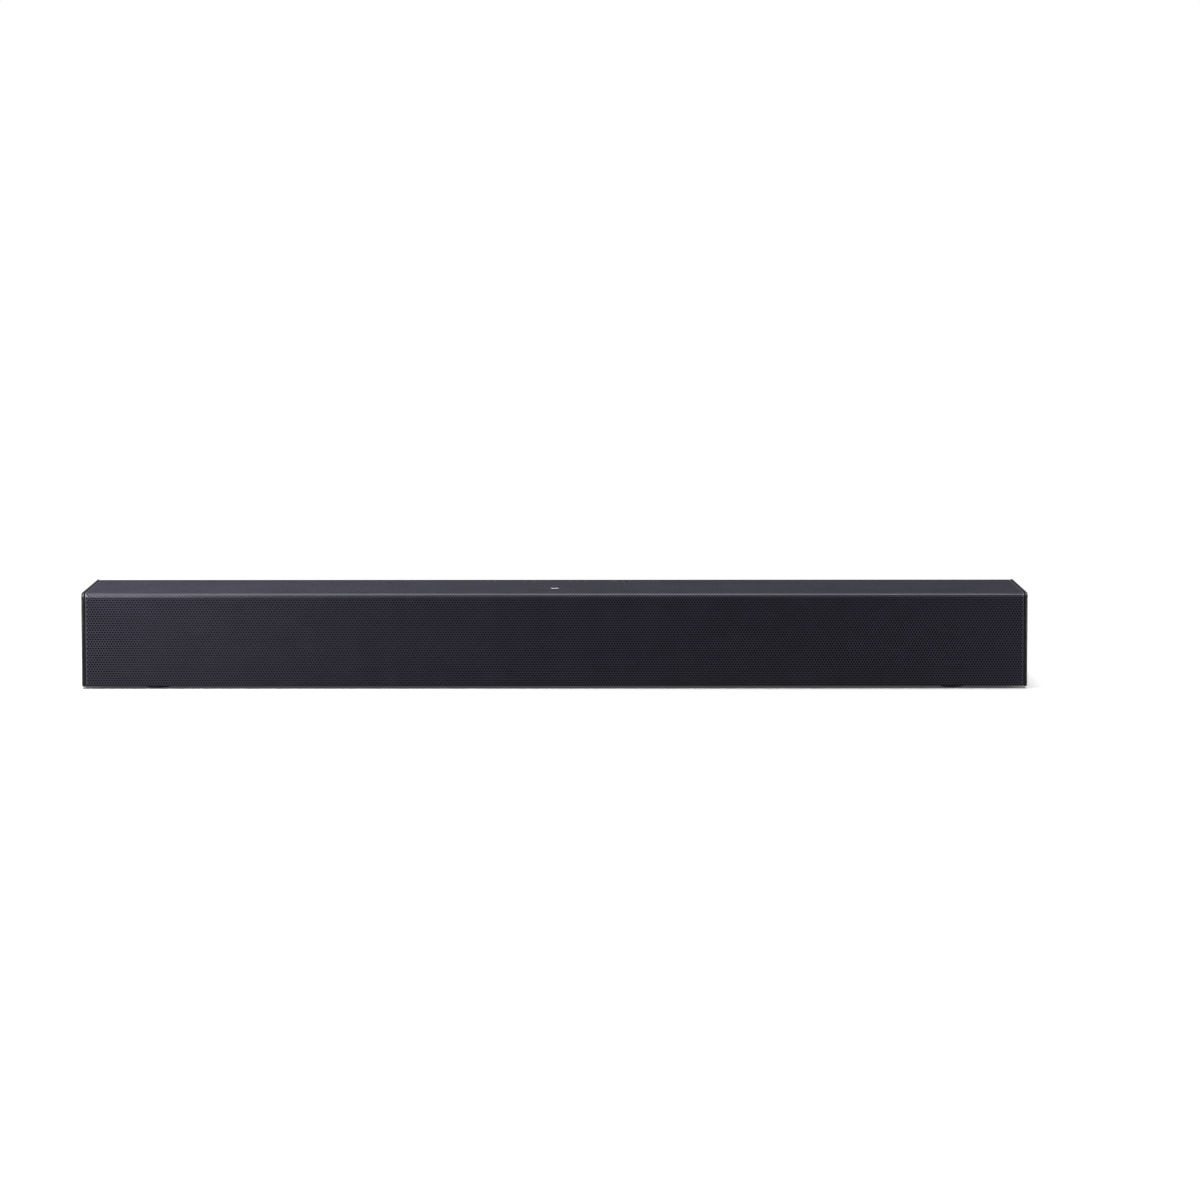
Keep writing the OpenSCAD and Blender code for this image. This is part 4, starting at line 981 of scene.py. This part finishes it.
def buildMark(name, body, spot, lines, look):
    # Each line is a band: left and right of the line by half the width, from a little under the dish up to
    # its height. Later lines stand slightly higher, so that they don't share a face where they cross.
    cx, cy, top = spot
    bands = []
    for order, line in enumerate(lines):
        line = line * millimetre
        run = np.gradient(line, axis=0)
        run /= np.linalg.norm(run, axis=1)[:, None]
        side = np.stack([-run[:, 1], run[:, 0]], 1) * stroke["width"] / 2
        lift = stroke["height"] * (1 + stroke["stagger"] * order)
        band = []
        for edge, up in ((line + side, -stroke["sunk"]), (line - side, -stroke["sunk"]),
                         (line - side, lift), (line + side, lift)):
            z = buttonTop(np.linalg.norm(edge, axis=1), top) + up
            band.append(np.column_stack([edge + (cx, cy), z]))
        band = np.stack(band, 1)
        bands.append(np.concatenate([band[:1], band, band[-1:]]))
    addPiece(name, ringMesh(name, bands, 30), "button_plastic", body, look=look)


# lines of each mark in millimetres from the button's middle
marks = {
    "power": [arcLine(1.5, 125, 415), straight((0, 0.3), (0, 1.9))],
    "source": [straight((0.5, 1.3), (1.6, 1.3), (1.6, -1.3), (0.5, -1.3)),
               straight((-1.7, 0), (0.7, 0)),
               straight((0, 0.7), (0.75, 0), (0, -0.7))],
    "volume_down": [straight((-1.5, 0), (1.5, 0))],
    "volume_up": [straight((-1.5, 0), (1.5, 0)), straight((0, -1.5), (0, 1.5))],
}
printedInk = markFinish("printedInk", markLook)
for key in buttonKeys:
    spot = buildButton("button_" + key, key + "_button")
    buildMark("mark_" + key, key + "_button", spot, marks[key], printedInk)
print("buttons and marks are built")


# feet and screws

foot = {"radius": 0.008, "chamfer": 0.0007, "topChamfer": 0.0003, "grooves": (0.0030, 0.0050),
        "grooveDeep": 0.0003, "grooveWide": 0.0006, "grooveSlope": 0.0001, "sides": 72}


def buildFeet():
    # each foot is a turned disc with two rings pressed into its sole
    low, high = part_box("rubber_feet")
    r, chamfer, topChamfer = foot["radius"], foot["chamfer"], foot["topChamfer"]
    centres = [(x, y, 0) for x in (low[0] + r, high[0] - r) for y in (low[1] + r, high[1] - r)]
    profile = [(0, high[2]), (r - topChamfer, high[2]), (r, high[2] - topChamfer), (r, low[2] + chamfer)]
    profile += roundOver(r - chamfer, low[2] + chamfer, chamfer, -15, -90, 6)
    half, slope, roof = foot["grooveWide"] / 2, foot["grooveSlope"], low[2] + foot["grooveDeep"]
    for groove in reversed(foot["grooves"]):
        profile += [(groove + half + slope, low[2]), (groove + half, roof),
                    (groove - half, roof), (groove - half - slope, low[2])]
    profile.append((0, low[2]))
    rings = turned(profile[::-1], centres, foot["sides"])
    addPiece("feet", ringMesh("feet", rings, 40), "foot_rubber", "cabinet", ["rubber_feet"])


buildFeet()

# recess holds shares of the cross and of its depth, from the middle of its floor to its brim
screw = {"headRadius": 0.0024, "headHeight": 0.0011, "shoulder": 0.0003, "brim": 0.0015,
         "armLength": 0.00135, "armHalf": 0.00026, "deep": 0.0007,
         "recess": ((0, 1), (0.7, 1), (0.8, 0.9), (1, 0)), "shankRadius": 0.00125, "length": 0.008,
         "thread": 0.0005, "threadRoot": 0.8, "threadStep": 0.9, "point": 0.5, "apart": 0.006}


def crossRadius(angles):
    # distance from the centre to the edge of a cross whose arms lie on the axes, at each angle
    folded = np.abs((angles + quarter / 2) % quarter - quarter / 2)
    side = screw["armHalf"] / np.maximum(np.sin(folded), 1e-9)
    return np.minimum(screw["armLength"] / np.cos(folded), side)


def buildScrews(centres, top, name, node):
    # The head is a disc with a rounded shoulder. Inside it the loops run from the floor of a cross up its
    # walls to a circle. The shank is a stack of circles whose radius goes in and out for the thread.
    tip = math.degrees(math.atan2(screw["armHalf"], screw["armLength"]))
    arms = 90 * np.arange(4)[:, None] + [-tip, tip]
    t = np.radians(np.unique(np.round(np.concatenate([np.arange(0, 360, 9), arms.ravel() % 360]), 4)))
    cross = crossRadius(t)
    head, shank, step = screw["headHeight"], screw["shankRadius"], screw["thread"]
    shoulder = screw["shoulder"]
    loops = [(share * cross, part * screw["deep"]) for share, part in screw["recess"]]
    loops.append((np.maximum(cross * 1.02, screw["brim"]), 0.0))
    loops += roundOver(screw["headRadius"] - shoulder, shoulder, shoulder, -90, 0)
    loops += [(screw["headRadius"], head), (shank, head)]
    for i in range(int(screw["length"] / step)):
        z = head + step + i * step * screw["threadStep"]
        loops += [(shank * screw["threadRoot"], z), (shank, z + step / 2)]
    loops += [(shank * screw["point"], head + screw["length"]), (0.0, head + screw["length"])]
    reach = np.array([np.broadcast_to(radius, t.shape) for radius, _ in loops])
    depth = np.array([np.full(t.shape, z) for _, z in loops])
    rings = np.stack([reach * np.cos(t), reach * np.sin(t), depth], -1)
    rings = rings[None] + np.array([(x, y, top) for x, y in centres])[:, None, None]
    addPiece(name, ringMesh(name, rings, 40), "black_steel", "cabinet", [node])


def screwSpots(node):
    # middles of the separate screws of a node: the centres of its lowest points, gathered by distance
    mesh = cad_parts[node].data
    co = np.zeros(len(mesh.vertices) * 3)
    mesh.vertices.foreach_get("co", co)
    co = co.reshape(-1, 3)
    lowest = co[co[:, 2] < co[:, 2].min() + 1e-5][:, :2]
    spots = []
    while len(lowest):
        near = np.linalg.norm(lowest - lowest[0], axis=1) < screw["apart"]
        corner = lowest[near]
        spots.append(tuple((corner.min(0) + corner.max(0)) / 2))
        lowest = lowest[~near]
    return spots, float(co[:, 2].min())


spots, lowest = screwSpots("cabinet_screws")
buildScrews(spots, lowest, "case_screws", "cabinet_screws")
print("feet and", len(spots), "case screws are built")
